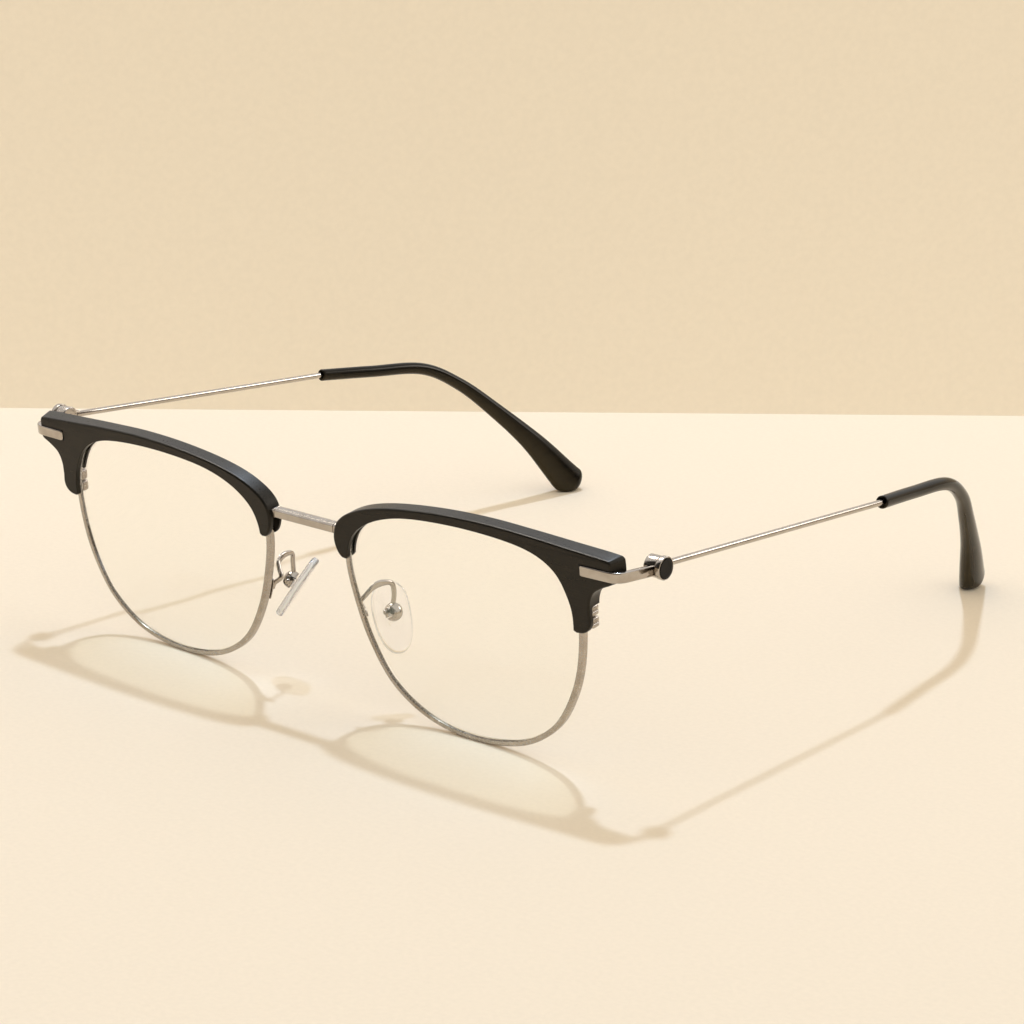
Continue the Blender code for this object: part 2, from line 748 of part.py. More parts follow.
def build_cap(side, materials):
    radius = DRUM_RADIUS - CAP_LIP - SEAT_GAP
    low = DRUM_OUTER - CAP_RECESS + SEAT_GAP
    disc = bevelled_disc(radius, low, DRUM_OUTER, SEAT_GAP, ROUND_SIDES)
    add_object(side, f"{side.name}_hinge_cap", along_x(disc), side.hinge, materials["cap"])


# Temple

def temple_points():
    drop = hinge_point().z
    points = []
    for back, inward, down in TEMPLE_SHARES:
        points.append(Vector((-inward * TIP_INSET, back * TEMPLE_REACH, -down * drop)))
    return points


def tip_path():
    return smooth_curve(temple_points(), TIP_STEPS)


def wire_path():
    """From just behind the drum, straight to the tip and on inside it as its core."""
    tip = tip_path()
    core = tip[:max(2, round(CORE_END_SHARE * len(tip)))]
    start = core[0] * (WIRE_START / core[0].y)
    return [start] + core


def build_temple_wire(side, materials):
    lateral = Vector((1, 0, 0))
    wire = sweep(wire_path(), ellipse(WIRE_RADIUS, WIRE_RADIUS, WIRE_SIDES), lateral)
    obj = add_object(side, f"{side.name}_temple_wire", wire, side.temple, materials["silver"])
    half = SLOT_HEIGHT / 2 - RUNNING_GAP
    eye = cylinder(EYE_RADIUS, -half, half, ROUND_SIDES)
    neck = box((-NECK_WIDTH / 2, 0, -half), (NECK_WIDTH / 2, NECK_LENGTH, half))
    add_boolean(side, obj, "neck", neck, "UNION")
    add_boolean(side, obj, "eye", eye, "UNION")
    pin = cylinder(HINGE_SCREW[2] + SEAT_GAP, -OVERRUN, OVERRUN, SMALL_SIDES)
    add_boolean(side, obj, "eye_bore", pin)


def tip_growth(share):
    """Half width and half thickness of the tip at a share of its length."""
    table = TIP_GROWTH_SHARES
    for (a, wide_a, thick_a), (b, wide_b, thick_b) in zip(table, table[1:]):
        if share <= b:
            t = (share - a) / (b - a)
            t = t * t * (3 - 2 * t)
            wide = wide_a + (wide_b - wide_a) * t
            thick = thick_a + (thick_b - thick_a) * t
            break
    return TIP_RADIUS + wide * (TIP_WIDE - TIP_RADIUS), TIP_RADIUS + thick * (TIP_THICK - TIP_RADIUS)


def build_temple_tip(side, materials):
    frames = path_frames(tip_path(), Vector((1, 0, 0)))
    lengths = [0]
    for (a, _, _), (b, _, _) in zip(frames, frames[1:]):
        lengths.append(lengths[-1] + (b - a).length)

    def ring(frame, wide, thick):
        point, across, up = frame
        return [point + across * a + up * b for a, b in ellipse(wide, thick, TIP_SIDES)]

    bore = WIRE_RADIUS + RUNNING_GAP
    core_count = max(2, round(CORE_END_SHARE * len(frames))) + 1
    rings = [ring(frame, bore, bore) for frame in reversed(frames[1:core_count])]
    point, across, up = frames[0]
    along = (frames[1][0] - point).normalized()
    for radius, depth in ((bore, TIP_MOUTH_DEPTH), (bore + TIP_MOUTH, 0), (TIP_RADIUS - TIP_EDGE, 0),
                          (TIP_RADIUS, TIP_EDGE)):
        rings.append(ring((point + along * depth, across, up), radius, radius))
    for frame, length in zip(frames[1:], lengths[1:]):
        wide, thick = tip_growth(length / lengths[-1])
        left = lengths[-1] - length
        if left < TIP_ROUNDING:
            continue
        rings.append(ring(frame, wide, thick))
    end, across, up = frames[-1]
    last = (end - frames[-2][0]).normalized()
    for share in (1.0, 0.75, 0.45, 0.15):
        swell = math.sqrt(1 - (1 - share) ** 2)
        centre = end - last * (TIP_ROUNDING * share)
        rings.append(ring((centre, across, up), TIP_WIDE * swell, TIP_THICK * swell))
    bm = loft(rings)
    ground = -hinge_point().z
    bmesh.ops.bisect_plane(bm, geom=bm.verts[:] + bm.edges[:] + bm.faces[:],
                           plane_co=(0, 0, ground), plane_no=(0, 0, -1), clear_outer=True)
    bmesh.ops.holes_fill(bm, edges=[edge for edge in bm.edges if edge.is_boundary])
    add_object(side, f"{side.name}_temple_tip", bm, side.temple, materials["tip"])


# Nose pads

def pad_outline(grow):
    """Rounded pad outline, a little narrower at its lower end, in the pad's XZ plane."""
    points = []
    sides = ROUND_SIDES
    for i in range(sides):
        turn = 2 * math.pi * i / sides
        up = math.sin(turn)
        square = 2 / 2.3
        x = math.copysign(abs(math.cos(turn)) ** square, math.cos(turn))
        z = math.copysign(abs(up) ** square, up)
        width = PAD_WIDE / 2 * (1 + 0.07 * z) + grow
        points.append(Vector((x * width, 0, z * (PAD_LONG / 2 + grow))))
    return points


def build_pad(side, materials):
    """The pad is drawn about its pivot, which lies behind its back face."""
    back = PIVOT_STANDOFF
    centre_z = -PAD_PIVOT_RISE
    soft = PAD_THICK / 3
    layers = [(-soft, 0), (0, soft), (0, PAD_THICK - soft), (-soft, PAD_THICK)]
    rings = []
    for grow, depth in layers:
        rings.append([p + Vector((0, back + depth, centre_z)) for p in pad_outline(grow)])
    pad = add_object(side, f"{side.name}_nose_pad", loft(rings), side.pad, materials["pad"])
    half = PAD_LUG_WIDTH / 2
    eye = along_x(cylinder(PAD_LUG_RADIUS, -half, half, SMALL_SIDES))
    stem = box((-half, 0, -PAD_LUG_RADIUS), (half, back + soft, PAD_LUG_RADIUS))
    add_boolean(side, pad, "lug_stem", stem, "UNION")
    add_boolean(side, pad, "lug_eye", eye, "UNION")
    hole = along_x(cylinder(PAD_SCREW[2] + SEAT_GAP, -half - OVERRUN, half + OVERRUN, SMALL_SIDES))
    add_boolean(side, pad, "lug_hole", hole)


def pad_box(side, arm):
    """Join the round screw box to the arm and cut its pocket and screw holes."""
    at_pivot = Matrix.Translation(pad_pivot()) @ pad_axes()
    mouth = PIVOT_STANDOFF - PAD_ROCK_GAP
    rear = mouth - BOX_LENGTH
    profile = []
    for angle in (20, 50, 90):
        turn = math.radians(angle)
        profile.append((BOX_RADIUS * math.sin(turn), BOX_DOME * (math.cos(turn) - 1) - rear))
    profile += [(BOX_RADIUS, DRUM_EDGE - mouth), (BOX_RADIUS - DRUM_EDGE, -mouth)]
    body = moved(turned(profile, ROUND_SIDES), Matrix.Rotation(math.radians(90), 4, "X"))
    add_boolean(side, arm, "box", moved(body, at_pivot), "UNION")
    wide = PAD_LUG_WIDTH / 2 + RUNNING_GAP
    depth = PAD_LUG_RADIUS + RUNNING_GAP
    pocket = box((-wide, -depth, -POCKET_TALL / 2), (wide, mouth + OVERRUN, POCKET_TALL / 2))
    add_boolean(side, arm, "pocket", moved(pocket, at_pivot))
    head_radius, head_height, shank_radius = PAD_SCREW
    well = cylinder(head_radius + SEAT_GAP, BOX_RADIUS - head_height, BOX_RADIUS + OVERRUN, SMALL_SIDES)
    add_boolean(side, arm, "screw_well", moved(along_x(well), at_pivot))
    bore = cylinder(shank_radius + SEAT_GAP, BLIND_END - BOX_RADIUS - SEAT_GAP, BOX_RADIUS, SMALL_SIDES)
    add_boolean(side, arm, "screw_bore", moved(along_x(bore), at_pivot))


def arm_path():
    """Arm centreline: up from the rim, over to the back and down into the screw box."""
    foot_x = nose_side_x(rim_outline(), ARM_FOOT_UP) - ARM_FOOT_INSET
    start = front_matrix() @ Vector((foot_x, RIM_DEPTH / 2 + SEAT_GAP + ARM_RADIUS, ARM_FOOT_UP))
    end = pad_pivot() + pad_axes().to_3x3() @ Vector((0, 0, BOX_RADIUS - BOX_WALL))
    points = []
    for back, up, bow in ARM_SHARES:
        point = start.lerp(end, back)
        points.append(Vector((point.x - bow * ARM_BOW, point.y, start.z + up * ARM_RISE)))
    return smooth_curve(points + [end], ARM_STEPS)


def build_pad_arm(side, materials):
    wire = sweep(arm_path(), ellipse(ARM_RADIUS, ARM_RADIUS, WIRE_SIDES), Vector((1, 0, 0)))
    arm = add_object(side, f"{side.name}_pad_arm", wire, side.root, materials["polished"])
    outline = rim_outline()
    rings = []
    for point, normal in zip(outline, outline_normals(outline)):
        if point.x > front_point(0.5, 0).x or abs(point.z - ARM_FOOT_UP) > ARM_FOOT_TALL:
            continue
        centre = point + normal * ARM_FOOT_INSET
        low = RIM_DEPTH / 2 + SEAT_GAP
        corners = [(-0.5, low), (0.5, low), (0.5, low + ARM_FOOT_THICK), (-0.5, low + ARM_FOOT_THICK)]
        rings.append([centre + normal * out * ARM_FOOT_WIDE + Vector((0, back, 0))
                      for out, back in corners])
    add_boolean(side, arm, "foot", moved(loft(rings), front_matrix()), "UNION")
    pad_box(side, arm)


def build_pad_screw(side, materials):
    head_radius, head_height, shank_radius = PAD_SCREW
    seat = BOX_RADIUS - head_height + SEAT_GAP
    matrix = Matrix.Translation((seat, 0, 0)) @ Matrix.Rotation(math.radians(90), 4, "Y")
    add_screw(side, "pad_screw", matrix, PAD_SCREW, seat + BOX_RADIUS - BLIND_END, side.pad_mount,
              materials["silver"])


# Assembly

def place_side(name, sign, root):
    """Empties for one side: the leaning front, the hinge with its temple, and the pad."""
    side = Side(name, sign)
    side.root = root

    def at(matrix):
        return matrix if sign > 0 else mirror_matrix(matrix)

    side.front = add_empty(f"{name}_front_plane", at(front_matrix()), root)
    side.hinge = add_empty(f"{name}_hinge", at(Matrix.Translation(hinge_point())), root)
    side.temple = add_empty(f"{name}_temple_pivot", Matrix.Identity(4), side.hinge)
    at_pad = Matrix.Translation(pad_pivot()) @ pad_axes()
    side.pad_mount = add_empty(f"{name}_pad_mount", at(at_pad), root)
    side.pad = add_empty(f"{name}_pad_pivot", Matrix.Identity(4), side.pad_mount)
    return side


def build_side(side, materials):
    build_rim(side, materials)
    build_lens(side, materials)
    build_brow(side, materials)
    build_lock(side, materials)
    build_endpiece(side, materials)
    build_endpiece_screws(side, materials)
    build_cap(side, materials)
    build_temple_wire(side, materials)
    build_temple_tip(side, materials)
    build_pad_arm(side, materials)
    build_pad_screw(side, materials)
    build_pad(side, materials)


def settle_on_ground(root):
    """Stand the glasses on z = 0 with the middle of their depth at y = 0."""
    bpy.context.view_layer.update()
    depsgraph = bpy.context.evaluated_depsgraph_get()
    points = []
    for obj in bpy.context.scene.objects:
        if obj.type == "MESH" and not obj.hide_render:
            evaluated = obj.evaluated_get(depsgraph)
            points += [evaluated.matrix_world @ vert.co for vert in evaluated.data.vertices]
    low = min(point.y for point in points)
    high = max(point.y for point in points)
    root.location.y -= (low + high) / 2
    root.location.z -= min(point.z for point in points)


def main():
    clear_scene()
    materials = make_materials()
    root = add_empty("glasses_frame", Matrix.Identity(4), None)
    middle = Side("middle", 1)
    middle.front = add_empty("middle_front_plane", tilt_matrix(), root)
    build_bridge(middle, materials)
    for name, sign in (("left", 1), ("right", -1)):
        build_side(place_side(name, sign, root), materials)
    settle_on_ground(root)


main()
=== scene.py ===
# %% [markdown]
# # Reading glasses: a browline frame on a pale table
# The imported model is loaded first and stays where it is. Everything made below sits in that
# same frame, in metres, with +Z up and the wearer's left at +X.

# %% Load the frame
import json
import math

import bmesh
import bpy
from mathutils import Matrix, Vector


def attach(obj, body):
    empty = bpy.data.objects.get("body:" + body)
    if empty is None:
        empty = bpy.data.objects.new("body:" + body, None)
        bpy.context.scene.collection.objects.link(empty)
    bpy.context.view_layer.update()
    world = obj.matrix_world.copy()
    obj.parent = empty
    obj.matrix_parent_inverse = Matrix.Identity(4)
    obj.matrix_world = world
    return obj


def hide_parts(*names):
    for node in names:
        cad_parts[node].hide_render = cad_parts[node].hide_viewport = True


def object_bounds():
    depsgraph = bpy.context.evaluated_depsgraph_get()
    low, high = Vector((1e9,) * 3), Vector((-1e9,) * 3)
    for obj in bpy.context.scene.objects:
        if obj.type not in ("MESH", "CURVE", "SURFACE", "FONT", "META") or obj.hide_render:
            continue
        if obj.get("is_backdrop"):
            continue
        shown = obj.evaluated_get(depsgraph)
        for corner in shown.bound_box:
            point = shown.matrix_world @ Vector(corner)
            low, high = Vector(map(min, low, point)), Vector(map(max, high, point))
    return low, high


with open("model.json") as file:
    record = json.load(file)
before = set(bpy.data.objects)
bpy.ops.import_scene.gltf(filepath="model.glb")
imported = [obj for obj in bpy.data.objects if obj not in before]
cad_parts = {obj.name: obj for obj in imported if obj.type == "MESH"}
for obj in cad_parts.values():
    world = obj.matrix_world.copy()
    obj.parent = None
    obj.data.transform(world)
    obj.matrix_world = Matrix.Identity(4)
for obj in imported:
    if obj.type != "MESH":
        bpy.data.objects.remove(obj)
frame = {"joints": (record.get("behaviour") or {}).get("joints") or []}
CAD_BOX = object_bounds()
print("CAD box", [tuple(round(v, 5) for v in corner) for corner in CAD_BOX])

# %% [markdown]
# ## Camera
# A long lens looks from the wearer's left and a little above, as a product photograph is taken.
# Its directions are given as vectors instead of with a Track To constraint, because a
# constraint would fight the other views, which turn the camera themselves.

# %% Camera
EYE = Vector((0.37226, -0.472806, 0.19561))
LOOKING = Vector((-0.60517, 0.74535, -0.27967)).normalized()
LEVEL = Vector((0.77231, 0.63491, 0.02093)).normalized()
LENS_MM = 110.74
SENSOR_MM = 36
NEAREST = 0.01
FARTHEST = 20


def make_camera():
    data = bpy.data.cameras.new("camera")
    data.lens = LENS_MM
    data.sensor_width = SENSOR_MM
    data.clip_start = NEAREST
    data.clip_end = FARTHEST
    camera = bpy.data.objects.new("camera", data)
    upward = LEVEL.cross(LOOKING).normalized()
    across = LOOKING.cross(upward)
    turn = Matrix((across, upward, -LOOKING)).transposed().to_4x4()
    camera.matrix_world = Matrix.Translation(EYE) @ turn
    bpy.context.scene.collection.objects.link(camera)
    bpy.context.scene.camera = camera


make_camera()
bpy.context.scene.view_settings.view_transform = "Standard"
print("camera", round(EYE.length, 3), "m from the middle, lens", LENS_MM, "mm")

# %% [markdown]
# ## One function for nodes
# Every material is a small tree of nodes. This one function adds a node, sets its properties,
# fills its inputs with numbers or links, and gives the node back.

# %% Helpers for materials


def linear(code):
    """Turn an sRGB hex colour into the linear values that a shader wants."""
    values = [int(code[i:i + 2], 16) / 255 for i in (1, 3, 5)]
    return [v / 12.92 if v <= 0.04045 else ((v + 0.055) / 1.055) ** 2.4 for v in values] + [1]


def add_node(tree, kind, inputs=None, **settings):
    made = tree.nodes.new(kind)
    for name, value in settings.items():
        setattr(made, name, value)
    for name, value in (inputs or {}).items():
        if isinstance(value, bpy.types.NodeSocket):
            tree.links.new(value, made.inputs[name])
        else:
            made.inputs[name].default_value = value
    return made


def new_tree(name):
    material = bpy.data.materials.new(name)
    material.use_nodes = True
    material.node_tree.nodes.clear()
    return material, material.node_tree


print("linear grey", [round(v, 3) for v in linear("#808080")[:3]])

# %% [markdown]
# ## Plated metals
# The wires, the bridge and the fittings are a nickel alloy. It is plated thinly with palladium,
# and a plating follows what lies under it. The eyewires and blocks were tumbled in nutshell,
# which leaves a satin skin. The bridge, the endpieces and the pad arms were polished on a wheel,
# so they mirror the set with only a faint waver. The temple wires were drawn through a die, and
# their fine lines run along them. One function makes all three, from two tones that lie like a
# film of handling over the metal, a range of roughness and the size of the grain. Real tumbling
# and drawing marks are about 0.02 mm wide; they are drawn wider here, so that they show.

# %% Plated metals
MM = 0.001
HANDLING = 2.5 * MM


def plated_metal(name, tones, roughness, grain, relief):
    """A metal whose grain is given by its size along X, Y and Z and its height."""
    material, tree = new_tree(name)
    place = add_node(tree, "ShaderNodeTexCoord")
    sized = add_node(tree, "ShaderNodeMapping",
                     {"Vector": place.outputs["Object"], "Scale": [1 / size for size in grain]})
    marks = add_node(tree, "ShaderNodeTexNoise",
                     {"Vector": sized.outputs[0], "Scale": 1.0, "Detail": 2.0})
    film = add_node(tree, "ShaderNodeTexNoise",
                    {"Vector": place.outputs["Object"], "Scale": 1 / HANDLING, "Detail": 4.0})
    share = add_node(tree, "ShaderNodeMapRange", {0: film.outputs["Fac"], 1: 0.35, 2: 0.65})
    colour = add_node(tree, "ShaderNodeMix", {0: share.outputs[0], 6: linear(tones[0]),
                                              7: linear(tones[1])}, data_type="RGBA")
    blur = add_node(tree, "ShaderNodeMapRange", {0: marks.outputs["Fac"], 1: 0.3, 2: 0.7,
                                                 3: roughness[0], 4: roughness[1]})
    bump = add_node(tree, "ShaderNodeBump", {"Height": marks.outputs["Fac"], "Distance": relief})
    shader = add_node(tree, "ShaderNodeBsdfPrincipled",
                      {"Base Color": colour.outputs[2], "Metallic": 1.0,
                       "Roughness": blur.outputs[0], "Normal": bump.outputs[0]})
    add_node(tree, "ShaderNodeOutputMaterial", {"Surface": shader.outputs[0]})
    print(name, "grain", [round(size / MM, 2) for size in grain], "mm")
    return material


SATIN_METAL = plated_metal("tumbled_palladium_plate", ("#b8b0a7", "#aaa299"), (0.2, 0.32),
                           (0.3 * MM, 0.3 * MM, 0.3 * MM), 0.0006 * MM)
POLISHED_METAL = plated_metal("polished_palladium_plate", ("#bab3ab", "#aea69d"), (0.13, 0.17),
                              (3 * MM, 3 * MM, 3 * MM), 0.001 * MM)
DRAWN_METAL = plated_metal("drawn_palladium_plated_wire", ("#bcb4ab", "#b2aaa0"), (0.12, 0.2),
                           (0.2 * MM, 6 * MM, 0.2 * MM), 0.003 * MM)

# %% [markdown]
# ## Satin nylon for the brows
# The brow caps are injection-moulded nylon in a tool that was spark-eroded, and then brushed by
# hand along their length. The eye sees a nearly black body with a soft sheen, which turns grey
# where the surface is seen at a flat angle, and fine streaks along the crest. The spark grain
# is about 0.05 mm and the brush lines finer still. Both are drawn at 0.2 mm so that they show.

# %% Satin nylon
SPARK_GRAIN = 0.2 * MM
BRUSH_LENGTH = 9 * MM
NYLON_RELIEF = 0.005 * MM


def moulded_nylon():
    material, tree = new_tree("brushed_black_nylon")
    place = add_node(tree, "ShaderNodeTexCoord")
    stretched = add_node(tree, "ShaderNodeMapping",
                         {"Vector": place.outputs["Object"],
                          "Scale": (1 / BRUSH_LENGTH, 1 / SPARK_GRAIN, 1 / SPARK_GRAIN)})
    brushed = add_node(tree, "ShaderNodeTexNoise",
                       {"Vector": stretched.outputs[0], "Scale": 1.0, "Detail": 3.0})
    spark = add_node(tree, "ShaderNodeTexNoise", {"Vector": place.outputs["Object"],
                                                  "Scale": 1 / SPARK_GRAIN, "Detail": 2.0})
    height = add_node(tree, "ShaderNodeMath", {0: brushed.outputs["Fac"], 1: spark.outputs["Fac"]},
                      operation="ADD")
    share = add_node(tree, "ShaderNodeMapRange", {0: brushed.outputs["Fac"], 1: 0.35, 2: 0.65})
    colour = add_node(tree, "ShaderNodeMix", {0: share.outputs[0], 6: linear("#0e0c0a"),
                                              7: linear("#161411")}, data_type="RGBA")
    blur = add_node(tree, "ShaderNodeMapRange", {0: height.outputs[0], 1: 0.7, 2: 1.3, 3: 0.26,
                                                 4: 0.40})
    bump = add_node(tree, "ShaderNodeBump", {"Height": height.outputs[0],
                                             "Distance": NYLON_RELIEF})
    shader = add_node(tree, "ShaderNodeBsdfPrincipled",
                      {"Base Color": colour.outputs[2], "Roughness": blur.outputs[0],
                       "IOR": 1.53, "Specular IOR Level": 0.28,
                       "Specular Tint": linear("#fff4e2"), "Normal": bump.outputs[0]})
    add_node(tree, "ShaderNodeOutputMaterial", {"Surface": shader.outputs[0]})
    return material


BROW_MOULDING = moulded_nylon()
print(BROW_MOULDING.name, "grain", SPARK_GRAIN / MM, "mm, brush lines", BRUSH_LENGTH / MM, "mm")

# %% [markdown]
# ## Tumbled acetate for the tips
# Cellulose acetate is cut from sheet, bent warm and tumbled until it shines, and its colour
# goes all the way through. This one is a smoky olive brown that looks nearly black over the
# wire core. The light that passes through it is painted: the hollow side of the bend, which the
# tip marks with an attribute, is painted a lighter olive. The clouds are drawn out along the
# tip, as they are in the sheet it was cut from, and the tumbled skin shows the bright parts of
# the set as long clean lines.

# %% Tumbled acetate
SMOKE_CLOUD = (1.5 * MM, 12 * MM, 1.5 * MM)
TUMBLED_WAVE = 2.5 * MM
TUMBLED_RELIEF = 0.005 * MM


def tumbled_acetate():
    material, tree = new_tree("smoke_cellulose_acetate")
    place = add_node(tree, "ShaderNodeTexCoord")
    sized = add_node(tree, "ShaderNodeMapping", {"Vector": place.outputs["Object"],
                                                 "Scale": [1 / size for size in SMOKE_CLOUD]})
    clouds = add_node(tree, "ShaderNodeTexNoise", {"Vector": sized.outputs[0], "Scale": 1.0,
                                                   "Detail": 3.0, "Distortion": 0.4})
    share = add_node(tree, "ShaderNodeMapRange", {0: clouds.outputs["Fac"], 1: 0.35, 2: 0.7})
    # Painted light: the hollow side of the bend is painted a lighter olive, in place of light
    # shining through the acetate.
    side = add_node(tree, "ShaderNodeAttribute")
    side.attribute_name = "painted_light_share"
    painted_light_amount = add_node(tree, "ShaderNodeMapRange", {0: side.outputs["Fac"], 1: 0.35, 2: 1.0, 3: 0.0,
                                                    4: 0.75})
    smoke = add_node(tree, "ShaderNodeMix", {0: share.outputs[0], 6: linear("#0d0c0a"),
                                             7: linear("#1c1811")}, data_type="RGBA")
    colour = add_node(tree, "ShaderNodeMix", {0: painted_light_amount.outputs[0], 6: smoke.outputs[2],
                                              7: linear("#3b3425")}, data_type="RGBA")
    skin = add_node(tree, "ShaderNodeTexNoise", {"Vector": place.outputs["Object"],
                                                 "Scale": 1 / TUMBLED_WAVE, "Detail": 1.0})
    blur = add_node(tree, "ShaderNodeMapRange", {0: skin.outputs["Fac"], 1: 0.3, 2: 0.7, 3: 0.07,
                                                 4: 0.12})
    bump = add_node(tree, "ShaderNodeBump", {"Height": skin.outputs["Fac"],
                                             "Distance": TUMBLED_RELIEF})
    shader = add_node(tree, "ShaderNodeBsdfPrincipled",
                      {"Base Color": colour.outputs[2], "Roughness": blur.outputs[0],
                       "IOR": 1.48, "Specular IOR Level": 0.16,
                       "Specular Tint": linear("#fff4e2"), "Normal": bump.outputs[0]})
    add_node(tree, "ShaderNodeOutputMaterial", {"Surface": shader.outputs[0]})
    return material


TIP_ACETATE = tumbled_acetate()
print(TIP_ACETATE.name, "clouds", [round(size / MM, 1) for size in SMOKE_CLOUD], "mm")

# %% [markdown]
# ## Enamel for the hinge caps
# A drop of black-brown cold enamel, an epoxy, fills the end of each drum. It levels itself as it
# sets, so it is smooth, with a slight orange-peel waver, and its edge is a little thinner and
# browner.

# %% Cold enamel
ENAMEL_WAVE = 0.7 * MM
ENAMEL_RELIEF = 0.01 * MM


def cold_enamel():
    material, tree = new_tree("black_brown_cold_enamel")
    place = add_node(tree, "ShaderNodeTexCoord")
    wave = add_node(tree, "ShaderNodeTexNoise", {"Vector": place.outputs["Object"],
                                                 "Scale": 1 / ENAMEL_WAVE, "Detail": 2.0})
    colour = add_node(tree, "ShaderNodeMix", {0: wave.outputs["Fac"], 6: linear("#070504"),
                                              7: linear("#100c08")}, data_type="RGBA")
    blur = add_node(tree, "ShaderNodeMapRange", {0: wave.outputs["Fac"], 3: 0.16, 4: 0.3})
    bump = add_node(tree, "ShaderNodeBump", {"Height": wave.outputs["Fac"],
                                             "Distance": ENAMEL_RELIEF})
    shader = add_node(tree, "ShaderNodeBsdfPrincipled",
                      {"Base Color": colour.outputs[2], "Roughness": blur.outputs[0],
                       "IOR": 1.55, "Specular IOR Level": 0.12, "Normal": bump.outputs[0]})
    add_node(tree, "ShaderNodeOutputMaterial", {"Surface": shader.outputs[0]})
    return material


CAP_ENAMEL = cold_enamel()
print(CAP_ENAMEL.name, "waver", ENAMEL_WAVE / MM, "mm")

# %% [markdown]
# ## Clear parts
# The lenses are cast CR-39 resin with an anti-reflection coating: nearly invisible, with a faint
# greenish reflection left. The pads are moulded silicone, clear but a little milky, with a
# skin that scatters light softly. Both let most of the light through, so their shadows are
# made with a Transparent shader on shadow rays. Without it, Cycles would draw them as solid.
# The milk in the silicone shows most where light runs along the pad, at its rolled edge, so the
# pad brings an attribute that is 0 on its flat faces and 1 round its edge.

# %% Clear parts
SMEAR = 6 * MM
SILICONE_SKIN = 0.5 * MM


def clear_part(name, tones, roughness, wave, relief, shade, milk, sockets):
    """Milk is the share of light scattered at the part's edge, where its path is long."""
    material, tree = new_tree(name)
    place = add_node(tree, "ShaderNodeTexCoord")
    skin = add_node(tree, "ShaderNodeTexNoise", {"Vector": place.outputs["Object"],
                                                 "Scale": 1 / wave, "Detail": 3.0})
    colour = add_node(tree, "ShaderNodeMix", {0: skin.outputs["Fac"], 6: linear(tones[0]),
                                              7: linear(tones[1])}, data_type="RGBA")
    # Painted shade: where the surface is seen edge-on, its colour turns to the third, darker tone,
    # in place of the lines that refraction draws at a clear edge.
    facing = add_node(tree, "ShaderNodeLayerWeight", {"Blend": 0.25})
    painted_edge_shade = add_node(tree, "ShaderNodeMapRange", {0: facing.outputs["Facing"], 1: 0.3,
                                                        2: 0.9})
    edge = add_node(tree, "ShaderNodeMix", {0: painted_edge_shade.outputs[0], 6: colour.outputs[2],
                                            7: linear(tones[2])}, data_type="RGBA")
    blur = add_node(tree, "ShaderNodeMapRange", {0: skin.outputs["Fac"], 1: 0.4, 2: 0.7,
                                                 3: roughness[0], 4: roughness[1]})
    bump = add_node(tree, "ShaderNodeBump", {"Height": skin.outputs["Fac"], "Distance": relief})
    shader = add_node(tree, "ShaderNodeBsdfPrincipled",
                      {"Base Color": edge.outputs[2], "Roughness": blur.outputs[0],
                       "Normal": bump.outputs[0], "Transmission Weight": 1.0, **sockets})
    body = shader
    if milk:
        cloudy = add_node(tree, "ShaderNodeBsdfPrincipled",
                          {"Base Color": colour.outputs[2], "Roughness": blur.outputs[0],
                           "Normal": bump.outputs[0], "Subsurface Weight": 0.4,
                           "Subsurface Radius": (0.002, 0.002, 0.002), "Subsurface Scale": 1.0})
        side = add_node(tree, "ShaderNodeAttribute")
        side.attribute_name = "edge_share"
        cloud = add_node(tree, "ShaderNodeMapRange", {0: side.outputs["Fac"], 1: 0.3, 2: 0.9,
                                                      3: 0.0, 4: milk})
        body = add_node(tree, "ShaderNodeMixShader", {0: cloud.outputs[0], 1: shader.outputs[0],
                                                      2: cloudy.outputs[0]})
    clear = add_node(tree, "ShaderNodeBsdfTransparent", {"Color": linear(shade)})
    ray = add_node(tree, "ShaderNodeLightPath")
    mix = add_node(tree, "ShaderNodeMixShader", {0: ray.outputs["Is Shadow Ray"],
                                                 1: body.outputs[0], 2: clear.outputs[0]})
    add_node(tree, "ShaderNodeOutputMaterial", {"Surface": mix.outputs[0]})
    return material


# The third tone of each clear part is its painted edge shade.
LENS_PLASTIC = clear_part(
    "coated_cr39_lens", tones=("#fffffd", "#fdfdfa", "#e8e6e0"), roughness=(0.0, 0.015),
    wave=SMEAR, relief=0.0002 * MM, shade="#eae6da", milk=0,
    sockets={"IOR": 1.5, "Specular IOR Level": 0.2, "Specular Tint": linear("#dff0e2")})
PAD_SILICONE = clear_part(
    "moulded_clear_silicone", tones=("#ffffff", "#f8f7fc", "#aca8b6"), roughness=(0.02, 0.08),
    wave=SILICONE_SKIN, relief=0.002 * MM, shade="#e4e0d8", milk=0.6,
    sockets={"IOR": 1.41, "Specular IOR Level": 0.4})
print("clear parts:", LENS_PLASTIC.name, "and", PAD_SILICONE.name)

# %% [markdown]
# ## Table and wall
# The glasses stand on cream card in front of a wall of the same card, which is darker only
# because less light falls on it. The floor card is also painted a little darker towards the
# camera, as a painted falloff of the lamp's light. A fine grain keeps both from looking empty.
# The wall is hidden from behind, so that the other views can look through it.

# %% Card
SET_DEPTH = Vector((-0.63, 0.776, 0))
FALLOFF_NEAR = -0.2
FALLOFF_FAR = 0.1


